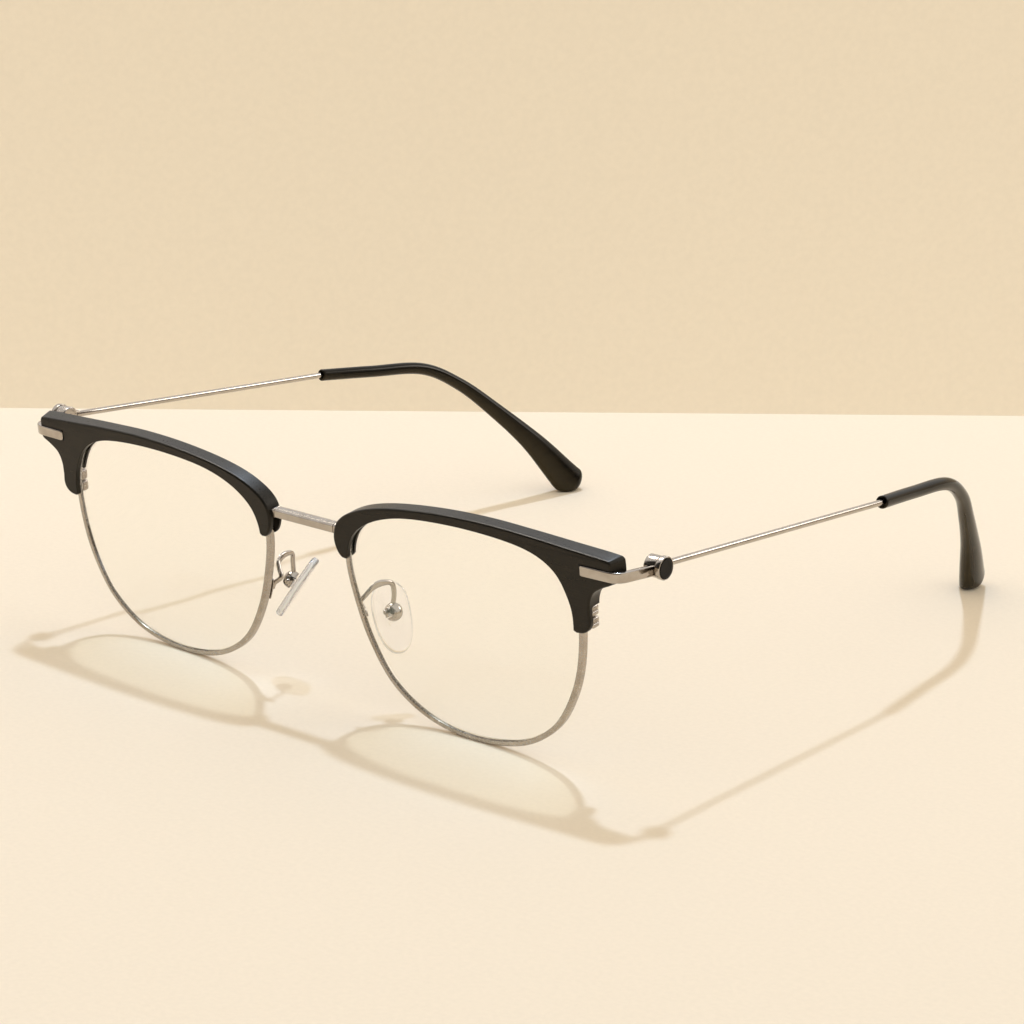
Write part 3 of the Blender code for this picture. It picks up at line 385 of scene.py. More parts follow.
def card_shader(tree, colour, grain_size, painted_falloff=(1.0, 1.0)):
    """Matt card: its grain is a noise whose bumps are about grain_size across, and a painted
    light falloff runs its tone from the near share of the colour to the far one across the middle
    of the set."""
    place = add_node(tree, "ShaderNodeTexCoord")
    grain = add_node(tree, "ShaderNodeTexNoise",
                     {"Vector": place.outputs["Object"], "Scale": 0.5 / grain_size, "Detail": 3})
    tone = add_node(tree, "ShaderNodeMapRange",
                    {0: grain.outputs["Fac"], 1: 0.3, 2: 0.7, 3: 0.97, 4: 1.0})
    # Painted light falloff: the card's colour is painted darker towards the camera, where less lamp
    # light falls.
    depth = add_node(tree, "ShaderNodeVectorMath", {0: place.outputs["Object"], 1: SET_DEPTH},
                     operation="DOT_PRODUCT")
    painted_falloff_tone = add_node(tree, "ShaderNodeMapRange", {0: depth.outputs["Value"], 1: FALLOFF_NEAR,
                                                 2: FALLOFF_FAR, 3: painted_falloff[0], 4: painted_falloff[1]})
    both = add_node(tree, "ShaderNodeMath", {0: tone.outputs[0], 1: painted_falloff_tone.outputs[0]},
                    operation="MULTIPLY")
    tint = add_node(tree, "ShaderNodeMix", {0: 1.0, 6: linear(colour)}, data_type="RGBA",
                    blend_type="MULTIPLY")
    tree.links.new(both.outputs[0], tint.inputs[7])
    bump = add_node(tree, "ShaderNodeBump", {"Height": grain.outputs["Fac"], "Strength": 0.1,
                                             "Distance": grain_size / 2})
    return add_node(tree, "ShaderNodeBsdfPrincipled",
                    {"Base Color": tint.outputs[2], "Roughness": 0.75, "Normal": bump.outputs[0],
                     "Specular IOR Level": 0.2})


print("card tone runs from", FALLOFF_NEAR, "to", FALLOFF_FAR, "m across the set")

# %% Floor
CARD_COLOUR = "#fcecd6"
FLOOR_GRAIN = 0.5 * MM
# Painted light falloff of the floor: its tone near the camera and far from it.
FLOOR_PAINTED_FALLOFF = (0.955, 0.99)
FLOOR_HALF = 6
FLOOR_DROP = 0.02 * MM


def add_stage(name, corners, material):
    mesh = bpy.data.meshes.new(name)
    mesh.from_pydata(corners, [], [(0, 1, 2, 3)])
    mesh.materials.append(material)
    piece = bpy.data.objects.new(name, mesh)
    bpy.context.scene.collection.objects.link(piece)
    piece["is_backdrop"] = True
    return piece


def make_floor():
    material, tree = new_tree("cream_card")
    shader = card_shader(tree, CARD_COLOUR, FLOOR_GRAIN, FLOOR_PAINTED_FALLOFF)
    add_node(tree, "ShaderNodeOutputMaterial", {"Surface": shader.outputs[0]})
    corners = [(x * FLOOR_HALF, y * FLOOR_HALF, -FLOOR_DROP)
               for x, y in ((-1, -1), (1, -1), (1, 1), (-1, 1))]
    add_stage("floor", corners, material)


make_floor()
print("floor", 2 * FLOOR_HALF, "m square, in card", CARD_COLOUR)

# %% Wall
WALL_COLOUR = "#faecd6"
WALL_GRAIN = 0.8 * MM
WALL_NEAR = Vector((-0.0124, 0.2039, 0))
WALL_FAR = Vector((-0.2013, 0.0321, 0))
WALL_REACH = 3
WALL_TALL = 2


def make_wall():
    material, tree = new_tree("wall_card")
    shader = card_shader(tree, WALL_COLOUR, WALL_GRAIN)
    clear = add_node(tree, "ShaderNodeBsdfTransparent")
    side = add_node(tree, "ShaderNodeNewGeometry")
    mix = add_node(tree, "ShaderNodeMixShader", {0: side.outputs["Backfacing"],
                                                 1: shader.outputs[0], 2: clear.outputs[0]})
    add_node(tree, "ShaderNodeOutputMaterial", {"Surface": mix.outputs[0]})
    along = (WALL_NEAR - WALL_FAR).normalized()
    left = WALL_FAR - along * WALL_REACH
    right = WALL_NEAR + along * WALL_REACH
    up = Vector((0, 0, WALL_TALL))
    wall = add_stage("wall", [left, right, right + up, left + up], material)
    wall.visible_shadow = False
    wall.visible_glossy = False


make_wall()
print("wall", round((WALL_NEAR - WALL_FAR).length, 3), "m between its two measured points")

# %% [markdown]
# ## Light
# One small soft lamp stands high behind the glasses on the left, so the shadows fall softly
# towards the viewer. An even, slightly warm world fills them, and the lamp is cool by as much,
# so that the lit card comes out as it is written and only the shadows turn warm.

# %% Light
WORLD_COLOUR = (0.846, 0.842, 0.79, 1)
KEY_COLOUR = (0.60, 0.76, 1.0)
KEY_PLACE = Vector((-0.52, 0.65, 1.75))
KEY_AIM = Vector((0, 0, 0.02))
KEY_SIZE = 0.11
KEY_WATTS = 15.8


def make_light():
    world = bpy.data.worlds.new("studio")
    bpy.context.scene.world = world
    world.use_nodes = True
    tree = world.node_tree
    tree.nodes.clear()
    back = add_node(tree, "ShaderNodeBackground", {"Color": WORLD_COLOUR, "Strength": 1.0})
    add_node(tree, "ShaderNodeOutputWorld", {"Surface": back.outputs[0]})
    data = bpy.data.lights.new("key", "AREA")
    data.shape = "DISK"
    data.size = KEY_SIZE
    data.color = KEY_COLOUR
    data.energy = KEY_WATTS
    key = bpy.data.objects.new("key", data)
    turn = (KEY_PLACE - KEY_AIM).to_track_quat("Z", "Y").to_matrix().to_4x4()
    key.matrix_world = Matrix.Translation(KEY_PLACE) @ turn
    bpy.context.scene.collection.objects.link(key)


make_light()
print("key lamp", round((KEY_PLACE - KEY_AIM).length, 2), "m away,", KEY_WATTS, "W")

# %% [markdown]
# ## What the metal mirrors
# Polished metal has hardly any colour of its own: it shows what stands round it. A paper tent
# stands round this set, as a photographer would use. It is pale overhead and takes the tone of
# the wall low at the back. A lamp shines through it on the left and a softer one high at the
# back, which draw the bright lines; a dark door low at the back and the dark mouth on the
# camera's side draw the dark ones. Only mirror rays see it, so it adds no light to any colour.

# %% Patches of the tent
LAMP = (Vector((-0.48, 0.14, 0.86)), 4, 11)
SOFT_LAMP = (Vector((0.42, 0.76, 0.50)), 3, 13)
DOOR = (Vector((0.70, 0.71, 0.06)), 10, 16)
MOUTH = (Vector((0.1, -0.95, 0.3)), 48, 58)


def tent_patch(tree, direction, side, inner, outer):
    """1 within an angle of a direction, falling softly to 0 at a wider angle."""
    toward = add_node(tree, "ShaderNodeVectorMath", {0: direction, 1: side.normalized()},
                      operation="DOT_PRODUCT")
    patch = add_node(tree, "ShaderNodeMapRange",
                     {0: toward.outputs["Value"], 1: math.cos(math.radians(outer)),
                      2: math.cos(math.radians(inner))}, interpolation_type="SMOOTHSTEP")
    return patch.outputs[0]


print("lamp patch within", LAMP[2], "degrees, soft lamp within", SOFT_LAMP[2])

# %% Paper
TENT_TONE = "#fbf7f2"
TENT_LOW_TONE = "#e6d0b0"
LOW_BAND = (0.16, 0.36)
MOUTH_TONE = "#3a3733"
DOOR_TONE = "#6a5c57"
LAMP_GLOW = 22.0
SOFT_GLOW = 6.0


def tent_paper():
    material, tree = new_tree("paper_tent")
    material.cycles.emission_sampling = "NONE"
    place = add_node(tree, "ShaderNodeTexCoord")
    direction = add_node(tree, "ShaderNodeVectorMath", {0: place.outputs["Object"]},
                         operation="NORMALIZE").outputs[0]
    height = add_node(tree, "ShaderNodeSeparateXYZ", {0: direction})
    low = add_node(tree, "ShaderNodeMapRange",
                   {0: height.outputs[2], 1: LOW_BAND[0], 2: LOW_BAND[1]},
                   interpolation_type="SMOOTHSTEP")
    paper = add_node(tree, "ShaderNodeMix", {0: low.outputs[0], 6: linear(TENT_LOW_TONE),
                                             7: linear(TENT_TONE)}, data_type="RGBA")
    tone = paper.outputs[2]
    for patch, dark in ((MOUTH, MOUTH_TONE), (DOOR, DOOR_TONE)):
        tone = add_node(tree, "ShaderNodeMix",
                        {0: tent_patch(tree, direction, *patch), 6: tone, 7: linear(dark)},
                        data_type="RGBA").outputs[2]
    strength = 1.0
    for patch, extra in ((LAMP, LAMP_GLOW), (SOFT_LAMP, SOFT_GLOW)):
        strength = add_node(tree, "ShaderNodeMath",
                            {0: tent_patch(tree, direction, *patch), 1: extra, 2: strength},
                            operation="MULTIPLY_ADD").outputs[0]
    light = add_node(tree, "ShaderNodeEmission", {"Color": tone, "Strength": strength})
    ray = add_node(tree, "ShaderNodeLightPath")
    clear = add_node(tree, "ShaderNodeBsdfTransparent")
    mirrored = add_node(tree, "ShaderNodeMath", {0: ray.outputs["Glossy Depth"], 1: 0.5},
                        operation="GREATER_THAN")
    seen = add_node(tree, "ShaderNodeMixShader", {0: mirrored.outputs[0], 1: clear.outputs[0],
                                                  2: light.outputs[0]})
    add_node(tree, "ShaderNodeOutputMaterial", {"Surface": seen.outputs[0]})
    return material


print("tent paper", TENT_TONE, "overhead and", TENT_LOW_TONE, "low at the back")

# %% Paper tent
TENT_RADIUS = 2.5


def make_tent():
    material = tent_paper()
    bm = bmesh.new()
    bmesh.ops.create_uvsphere(bm, u_segments=32, v_segments=16, radius=TENT_RADIUS)
    mesh = bpy.data.meshes.new("tent")
    bm.to_mesh(mesh)
    bm.free()
    mesh.materials.append(material)
    tent = bpy.data.objects.new("tent", mesh)
    bpy.context.scene.collection.objects.link(tent)
    tent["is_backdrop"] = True
    for kind in ("camera", "diffuse", "volume_scatter", "shadow"):
        setattr(tent, "visible_" + kind, False)


make_tent()
print("tent", TENT_RADIUS, "m in radius")

# %% [markdown]
# ## Sizes and places
# These are the sizes of the drawn part, in metres, so that each finer piece lands on its
# solid. One half of the front is drawn flat, x out from the middle, y back and z up, and a
# matrix then leans it, turns it and stands it on the table. The right half is its mirror image.

# %% Sizes
RIM_WIDTH = 52.0 * MM
RIM_HEIGHT = 41.8 * MM
NOSE_GAP = 19.4 * MM
FRONT_TILT = math.radians(7.5)
FRONT_WRAP = math.radians(1.6)
RIM_RADIAL = 1.0 * MM
RIM_DEPTH = 1.5 * MM
RIM_EDGE = 0.3 * MM
SEAT_GAP = 0.08 * MM
RUNNING_GAP = 0.12 * MM
OVERRUN = 1.0 * MM

RIM_SHARES = [
    (1.000, 0.690), (0.988, 0.490), (0.948, 0.322), (0.872, 0.166), (0.745, 0.053),
    (0.590, 0.005), (0.430, 0.005), (0.285, 0.055), (0.160, 0.165), (0.075, 0.335),
    (0.026, 0.510), (0.000, 0.680), (0.018, 0.797), (0.070, 0.877), (0.165, 0.942),
    (0.300, 0.983), (0.500, 1.000), (0.700, 0.993), (0.835, 0.965), (0.925, 0.904),
    (0.976, 0.808),
]
RIM_STEPS = 9
LOCK_GAP = 0.25 * MM
GROOVE_DEPTH = 0.4 * MM
GROOVE_MOUTH = 0.9 * MM
print("rims", RIM_WIDTH / MM, "by", RIM_HEIGHT / MM, "mm,", NOSE_GAP / MM, "mm apart")

# %% [markdown]
# ## Curves
# A curve on such a frame has no straight runs and no kinks. It is drawn here from a few points,
# written as shares of the rim, and a Catmull-Rom curve passes smoothly through all of them. An
# outline can then be grown or shrunk along its own normals, so that a channel, a groove or a
# lens stays the same distance from the wire all the way round.

# %% Curves


def smooth_curve(points, steps, closed=False):
    """A Catmull-Rom curve through every given point."""
    count = len(points)
    spans = count if closed else count - 1
    curve = []
    for span in range(spans):
        near = [span + k for k in (-1, 0, 1, 2)]
        near = [k % count if closed else min(max(k, 0), count - 1) for k in near]
        a, b, c, d = (points[k] for k in near)
        for step in range(steps):
            t = step / steps
            bend = (2 * a - 5 * b + 4 * c - d) * t ** 2 + (3 * b - a - 3 * c + d) * t ** 3
            curve.append((2 * b + (c - a) * t + bend) / 2)
    if not closed:
        curve.append(points[-1].copy())
    return curve


def outline_normals(points):
    """Outward normals of a closed outline in the XZ plane."""
    count = len(points)
    area = sum(points[i - 1].x * points[i].z - points[i].x * points[i - 1].z for i in range(count))
    turn = 1 if area > 0 else -1
    normals = []
    for i in range(count):
        along = points[(i + 1) % count] - points[i - 1]
        normals.append(Vector((along.z, 0, -along.x)).normalized() * turn)
    return normals


def grown(points, distance):
    return [p + n * distance for p, n in zip(points, outline_normals(points))]


print("curve of", len(smooth_curve([Vector((k, 0, 0)) for k in range(4)], 8)), "points through 4")

# %% Points on the front
RIM_FOOT = RIM_RADIAL / 2 + (RIM_DEPTH / 2 - RIM_EDGE) * math.tan(FRONT_TILT)


def front_point(share_out, share_up):
    """A point of the flat front from its shares of one rim's width and height."""
    return Vector((NOSE_GAP / 2 + share_out * RIM_WIDTH, 0, RIM_FOOT + share_up * RIM_HEIGHT))


LENS_MIDDLE = front_point(0.5, 0).x
BROW_END = front_point(1.148, 0).x
STRIP_UP = front_point(0, 0.926).z
BRIDGE_UP = front_point(0, 0.822).z
RIM_LINE = smooth_curve([front_point(*shares) for shares in RIM_SHARES], RIM_STEPS, closed=True)


def side_x(outline, height, nose_side):
    """Where the nose side or the temple side of an outline crosses a height."""
    for a, b in zip(outline, outline[1:] + outline[:1]):
        low, high = sorted((a.z, b.z))
        if (a.x < LENS_MIDDLE) == nose_side and low <= height <= high and high > low:
            return a.x + (b.x - a.x) * (height - a.z) / (b.z - a.z)
    return LENS_MIDDLE


print("rim line of", len(RIM_LINE), "points")

# %% Matrices
HINGE_OUTSET = 3.0 * MM
HINGE_SETBACK = 7.1 * MM
HINGE_FALL = 0.57 * MM
TILT = Matrix.Rotation(FRONT_TILT, 4, "X")
LEANING = Matrix.Rotation(FRONT_WRAP, 4, "Z") @ TILT
HINGE_DRAWN = LEANING @ Vector((BROW_END + HINGE_OUTSET, HINGE_SETBACK, STRIP_UP - HINGE_FALL))
HINGE = next(Vector(j["pos_m"]) for j in frame["joints"] if j["name"] == "left_temple_fold")
STAND = Matrix.Translation(HINGE - HINGE_DRAWN)
FRONT = STAND @ LEANING
AT_HINGE = Matrix.Translation(HINGE)
print("stand offset", tuple(round(v * 1000, 4) for v in HINGE - HINGE_DRAWN))

# %% [markdown]
# ## Making solids
# Turned parts, swept wires and lofted mouldings are all rings of points joined by faces, so
# three short functions make nearly every piece. Cuts and joins are Boolean modifiers that are
# applied at once: the piece keeps a plain mesh and no helper stays in the scene.

# %% Lofts and sweeps


def loft(rings):
    """A closed solid through rings that all have the same number of points."""
    bm = bmesh.new()
    loops = [[bm.verts.new(point) for point in ring] for ring in rings]
    for first, second in zip(loops, loops[1:]):
        for i in range(len(first)):
            bm.faces.new((first[i - 1], first[i], second[i], second[i - 1]))
    bm.faces.new(loops[0])
    bm.faces.new(loops[-1])
    return bm


def path_frames(path, upward):
    """Side and up directions square to a path at each of its points."""
    frames = []
    for i, point in enumerate(path):
        along = path[min(i + 1, len(path) - 1)] - path[max(i - 1, 0)]
        across = upward.cross(along).normalized()
        frames.append((point, across, along.cross(across).normalized()))
    return frames


def section_at(frame_at, section):
    """A section, given as (across, up) pairs, set square to a path at one of its frames."""
    point, across, up = frame_at
    return [point + across * a + up * b for a, b in section]


def sweep(path, section, upward):
    return loft([section_at(frame_at, section) for frame_at in path_frames(path, upward)])


ahead = path_frames([Vector((0, 0, 0)), Vector((0, 1, 0))], Vector((1, 0, 0)))[0]
print("along +Y, with +X as upward, across is", tuple(ahead[1]), "and up is", tuple(ahead[2]))

# %% Sections


def ellipse(wide, tall, sides):
    turns = [2 * math.pi * i / sides for i in range(sides)]
    return [(wide * math.cos(t), tall * math.sin(t)) for t in turns]


def rounded(corners, steps=4):
    """Points of an outline given as (a, b, corner radius)."""
    points = []
    for i, (a, b, radius) in enumerate(corners):
        here = Vector((a, b))
        if not radius:
            points.append((a, b))
            continue
        before = (Vector(corners[i - 1][:2]) - here).normalized()
        after = (Vector(corners[(i + 1) % len(corners)][:2]) - here).normalized()
        half = before.angle(after) / 2
        centre = here + (before + after).normalized() * (radius / math.sin(half))
        spoke = here + before * (radius / math.tan(half)) - centre
        turn = (math.pi - 2 * half) * (1 if before.cross(after) < 0 else -1)
        for k in range(steps + 1):
            point = centre + Matrix.Rotation(turn * k / steps, 2) @ spoke
            points.append((point.x, point.y))
    return points


def bar_section(wide, tall, radius, steps=4):
    corners = [(wide, -tall), (wide, tall), (-wide, tall), (-wide, -tall)]
    return rounded([(a, b, radius) for a, b in corners], steps)


print("rounded square of", len(bar_section(1, 1, 0.2)), "points")

# %% Turned, boxed and extruded solids


def turned(profile, sides):
    """A solid of revolution about Z from (radius, height) pairs, capped at both ends."""
    return loft([[Vector((x, y, height)) for x, y in ellipse(radius, radius, sides)]
                 for radius, height in profile])


def cylinder(radius, low, high, sides=24):
    return turned([(radius, low), (radius, high)], sides)


def box(low, high, edge=0, steps=3):
    bm = bmesh.new()
    bmesh.ops.create_cube(bm, size=1)
    for vert in bm.verts:
        vert.co = Vector([low[k] if vert.co[k] < 0 else high[k] for k in range(3)])
    if edge:
        bmesh.ops.bevel(bm, geom=bm.edges[:], offset=edge, segments=steps, profile=0.5,
                        affect="EDGES")
    return bm


def prism(outline, front, rear):
    return loft([[Vector((p.x, y, p.z)) for p in outline] for y in (front, rear)])


sample = box((0, 0, 0), (1, 1, 1), 0.1)
print("a box with rounded edges has", len(sample.faces), "faces")
sample.free()

# %% Moving and joining solids
QUARTER = math.radians(90)


def moved(bm, matrix):
    bmesh.ops.transform(bm, matrix=matrix, verts=bm.verts)
    return bm


def along_x(bm):
    return moved(bm, Matrix.Rotation(QUARTER, 4, "Y"))


def to_mesh(bm):
    bmesh.ops.recalc_face_normals(bm, faces=bm.faces)
    mesh = bpy.data.meshes.new("shape")
    bm.to_mesh(mesh)
    bm.free()
    return mesh


def combine(mesh, *tools):
    """Cut a mesh with solids or join them to it: tools are (solid, operation) pairs.
    A triangle that the Boolean leaves open is closed afterwards."""
    base = bpy.data.objects.new("base", mesh)
    bpy.context.scene.collection.objects.link(base)
    helpers = []
    for bm, operation in tools:
        helper = bpy.data.objects.new("helper", to_mesh(bm))
        bpy.context.scene.collection.objects.link(helper)
        helpers.append(helper)
        modifier = base.modifiers.new("cut", "BOOLEAN")
        modifier.operation = operation
        modifier.object = helper
        modifier.solver = "EXACT"
    graph = bpy.context.evaluated_depsgraph_get()
    result = bpy.data.meshes.new_from_object(base.evaluated_get(graph))
    for obj in helpers + [base]:
        bpy.data.objects.remove(obj)
    bm = bmesh.new()
    bm.from_mesh(result)
    bmesh.ops.holes_fill(bm, edges=[edge for edge in bm.edges if edge.is_boundary], sides=3)
    bm.to_mesh(result)
    bm.free()
    return result


CUT = "DIFFERENCE"
JOIN = "UNION"
print("tools either cut, as", CUT, "or join, as", JOIN)

# %% [markdown]
# ## Adding pieces
# Each shown piece replaces one node of the frame, which it hides, and rides on an empty named
# for that node's body, so it moves when that empty moves. Smooth shading with sharp edges by
# angle keeps the rolls soft and the filed edges crisp. A pair is made once and mirrored.

# %% Adding pieces
MIRROR = Matrix.Diagonal((-1, 1, 1, 1))


def add_piece(name, mesh, material, body, node, sharp=38):
    """Show a mesh in place of a CAD node: it rides on the same body."""
    mesh.materials.clear()
    mesh.materials.append(material)
    mesh.shade_smooth()
    mesh.set_sharp_from_angle(angle=math.radians(sharp))
    piece = bpy.data.objects.new(name, mesh)
    bpy.context.scene.collection.objects.link(piece)
    even = piece.modifiers.new("even_shading", "WEIGHTED_NORMAL")
    even.keep_sharp = True
    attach(piece, body)
    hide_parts(node)
    return piece


def add_pair(name, node, mesh, place, material, body="front", sharp=38):
    """Add a piece on the left and its mirror image on the right."""
    for side, sign in (("left", 1), ("right", -1)):
        copy = mesh.copy()
        copy.transform(place)
        if sign < 0:
            copy.transform(MIRROR)
            copy.flip_normals()
        add_piece(f"{side}_{name}", copy, material, body.format(side), f"{side}_{node}",
                  sharp)
    print(name, len(mesh.polygons), "faces a side")


# %% [markdown]
# ## Eyewires
# The eyewire is a drawn strip of nickel alloy, grooved on its inner side and bent round the
# lens, with its two ends closed by a screw at the temple. A sweep of one section round the lens
# line gives the groove and the rounded outer corners in one go.

# %% Eyewires
RIM_OUTER_ROUND = 0.34 * MM
RIM_INNER_ROUND = 0.12 * MM
GROOVE_ROUND = 0.05 * MM


def rim_section():
    """Section of the eyewire as (outward, back, corner radius), with the lens groove inside."""
    half = RIM_RADIAL / 2
    deep = RIM_DEPTH / 2
    mouth = GROOVE_MOUTH / 2
    return [
        (half, deep, RIM_OUTER_ROUND), (-half, deep, RIM_INNER_ROUND),
        (-half, mouth, GROOVE_ROUND), (GROOVE_DEPTH - half, 0, GROOVE_ROUND),
        (-half, -mouth, GROOVE_ROUND), (-half, -deep, RIM_INNER_ROUND),
        (half, -deep, RIM_OUTER_ROUND),
    ]


def make_eyewire():
    normals = outline_normals(RIM_LINE)
    shift = (RIM_LINE[1] - RIM_LINE[0]).normalized() * (LOCK_GAP / 2)
    path = [RIM_LINE[0] + shift] + RIM_LINE[1:] + [RIM_LINE[0] - shift]
    back = Vector((0, 1, 0))
    section = rounded(rim_section(), 5)
    rings = []
    for point, normal in zip(path, normals + normals[:1]):
        rings.append([point + normal * out + back * deep for out, deep in section])
    return to_mesh(loft(rings))


add_pair("eyewire", "rim", make_eyewire(), FRONT, SATIN_METAL)

# %% [markdown]
# ## Lenses
# A plastic lens is thin at its rim, with a V edge that sits in the groove, and bows forward.
# It is made of rings that shrink towards the middle, each pushed forward by its share of the
# bulge, so that the curve is round and the reflections run smoothly.

# %% Lenses
LENS_EDGE = 1.0 * MM
LENS_BEVEL = 0.7 * MM
LENS_SHOULDER = 0.1 * MM
LENS_FRONT_BULGE = 1.5 * MM
LENS_REAR_BULGE = 0.6 * MM
LENS_RINGS = [0.04, 0.15, 0.3, 0.45, 0.6, 0.72, 0.83, 0.92, 0.98, 1]


def make_lens():
    groove_floor = grown(RIM_LINE, GROOVE_DEPTH - RIM_RADIAL / 2 - SEAT_GAP)
    shoulder = grown(RIM_LINE, -RIM_RADIAL / 2 - LENS_SHOULDER)
    centre = front_point(0.5, 0.5)

    def surface(share, edge, bulge):
        back = Vector((0, edge - bulge * (1 - share ** 2), 0))
        return [centre + (p - centre) * share + back for p in shoulder]

    rear = [surface(s, LENS_EDGE / 2, LENS_REAR_BULGE) for s in LENS_RINGS]
    face = [surface(s, -LENS_EDGE / 2, LENS_FRONT_BULGE) for s in reversed(LENS_RINGS)]
    bevel = [[p + Vector((0, back, 0)) for p in ring]
             for ring, back in ((shoulder, LENS_BEVEL / 2), (groove_floor, 0),
                                (shoulder, -LENS_BEVEL / 2))]
    return to_mesh(loft(rear + bevel + face))


add_pair("lens_blank", "lens", make_lens(), FRONT, LENS_PLASTIC, sharp=30)

# %% [markdown]
# ## Strip and bracket
# A bright strip is let into the face of each brow cap, bends round its end and runs back to the
# hinge. A bracket branches off it behind the brow and takes a screw. The brow cap has to leave
# room for all three, so their places are worked out first, from one set of sizes.

# %% Path of the strip
BROW_FRONT = 1.8 * MM
BROW_REAR = 1.5 * MM
DRUM_RADIUS = 2.1 * MM
STRIP_LENGTH = 6.4 * MM
STRIP_TALL = 1.9 * MM
STRIP_THICK = 1.0 * MM
STRIP_PROUD = 0.35 * MM
STRIP_BEND = 2.6 * MM
STRIP_CORNER_OUT = 1.3 * MM
STRIP_ROOT_OUT = 0.6 * MM
STRIP_ROOT_SHARE = 0.8


def strip_path(steps):
    """Centreline of the strip: along the brow's face, round its end and back to the drum."""
    back = STRIP_THICK / 2 - BROW_FRONT - STRIP_PROUD
    start = Vector((BROW_END - STRIP_LENGTH, back, 0))
    corner = Vector((BROW_END + STRIP_CORNER_OUT, back, 0))
    join = Vector((BROW_END + HINGE_OUTSET + STRIP_ROOT_OUT,
                   HINGE_SETBACK - DRUM_RADIUS * STRIP_ROOT_SHARE, 0))
    into = (corner - start).normalized()
    away = (join - corner).normalized()
    turn = into.angle(away)
    first = corner - into * (STRIP_BEND * math.tan(turn / 2))
    centre = first + Vector((0, STRIP_BEND, 0))
    path = [start]
    for i in range(steps + 1):
        angle = turn * i / steps
        path.append(centre + Vector((math.sin(angle), -math.cos(angle), 0)) * STRIP_BEND)
    path.append(join)
    for point in path:
        share = (point.y - back) / (join.y - back)
        point.z = STRIP_UP - HINGE_FALL * share
    return path


print("strip path of", len(strip_path(14)), "points")

# %% Bracket and its screw
BRACKET_THICK = 0.9 * MM
BRACKET_TALL = 1.6 * MM
BRACKET_REACH = 6.6 * MM
BRACKET_STEPS = 6
BROW_SCREW_IN = 2.8 * MM
BROW_SCREW = (0.75 * MM, 0.45 * MM, 0.45 * MM)
BROW_SCREW_TIP = 0.35 * MM


def bracket_corners():
    """The bracket's lower front and upper rear corner. It meets the strip behind the brow."""
    low_y = BROW_REAR + SEAT_GAP
    high_y = low_y + BRACKET_THICK
    path = strip_path(BRACKET_STEPS)
    share = ((low_y + high_y) / 2 - path[-2].y) / (path[-1].y - path[-2].y)
    met = path[-2].lerp(path[-1], share)
    low_z = met.z - BRACKET_TALL / 2
    return (BROW_END - BRACKET_REACH, low_y, low_z), (met.x, high_y, low_z + BRACKET_TALL)


def brow_screw_matrix():
    low, high = bracket_corners()
    seat = Vector((low[0] + BROW_SCREW_IN, 0, (low[2] + high[2]) / 2))
    return Matrix.Translation(seat) @ Matrix.Rotation(math.radians(-90), 4, "X")


print("brow screw", round((BROW_END - brow_screw_matrix().translation.x) / MM, 2), "mm in")

# %% [markdown]
# ## Brow caps
# Each brow cap is moulded with a channel that straddles the top of the eyewire. It is lofted
# from its front outline to its rear one with the edges rolled over in steps: a broad roll
# along the crest, which takes the long soft highlight, and a tight one round the lens.

# %% Outline of a brow cap
BROW_COVER = 0.85 * MM
BROW_NOSE_END = front_point(0, 0.716).z
BROW_TEMPLE_END = front_point(0, 0.648).z
BROW_END_MARGIN = 0.12 * MM
BROW_SHARES = [
    (0.010, 0.704, 0.0), (-0.009, 0.707, 0.0), (-0.027, 0.731, 0.0), (-0.039, 0.776, 0.0),
    (-0.036, 0.824, 0.0), (-0.018, 0.871, 0.0), (0.030, 0.917, 0.0), (0.118, 0.961, 0.0),
    (0.246, 0.994, 0.0), (0.429, 1.018, 0.0), (0.621, 1.026, 0.0), (0.813, 1.018, 0.0),
    (0.987, 1.004, 0.0), (1.122, 0.993, 0.4), (1.144, 0.985, 0.9), (1.1485, 0.963, 1.0),
    (1.149, 0.908, 1.0), (1.1465, 0.893, 0.9), (1.138, 0.883, 0.7), (1.110, 0.866, 0.3),
    (1.072, 0.834, 0.0), (1.055, 0.790, 0.0), (1.052, 0.739, 0.0), (1.054, 0.694, 0.0),
    (1.044, 0.662, 0.0), (1.022, 0.643, 0.0), (0.994, 0.638, 0.0),
]


def lens_side():
    """The brow's edge round the lens, from its temple end over the top to its nose end."""
    inner = grown(RIM_LINE, -BROW_COVER)
    lowest = min(range(len(RIM_LINE)), key=lambda i: RIM_LINE[i].z)
    ends = [Vector((side_x(inner, BROW_TEMPLE_END, False), 0, BROW_TEMPLE_END)),
            Vector((side_x(inner, BROW_NOSE_END, True), 0, BROW_NOSE_END))]
    inner = inner[lowest:] + inner[:lowest]
    inner = [p for p in inner
             if p.z > (BROW_NOSE_END if p.x < LENS_MIDDLE else BROW_TEMPLE_END) + BROW_END_MARGIN]
    inner.reverse()
    return ends[:1] + inner + ends[1:]


print("lens side of", len(lens_side()), "points")

# %% Rolled edges
BROW_STEPS = 7
BROW_END_FLARE = 1.0 * MM
CREST_ROLL = 0.42 * MM
LENS_SIDE_ROLL = 0.15 * MM
REAR_ROLL = 0.3 * MM
ROLL_DEGREES = (0, 15, 30, 45, 60, 75, 90)
BROW_REAR_LIFT = 0.25 * MM
BROW_LIFT_START = front_point(0.75, 0).x


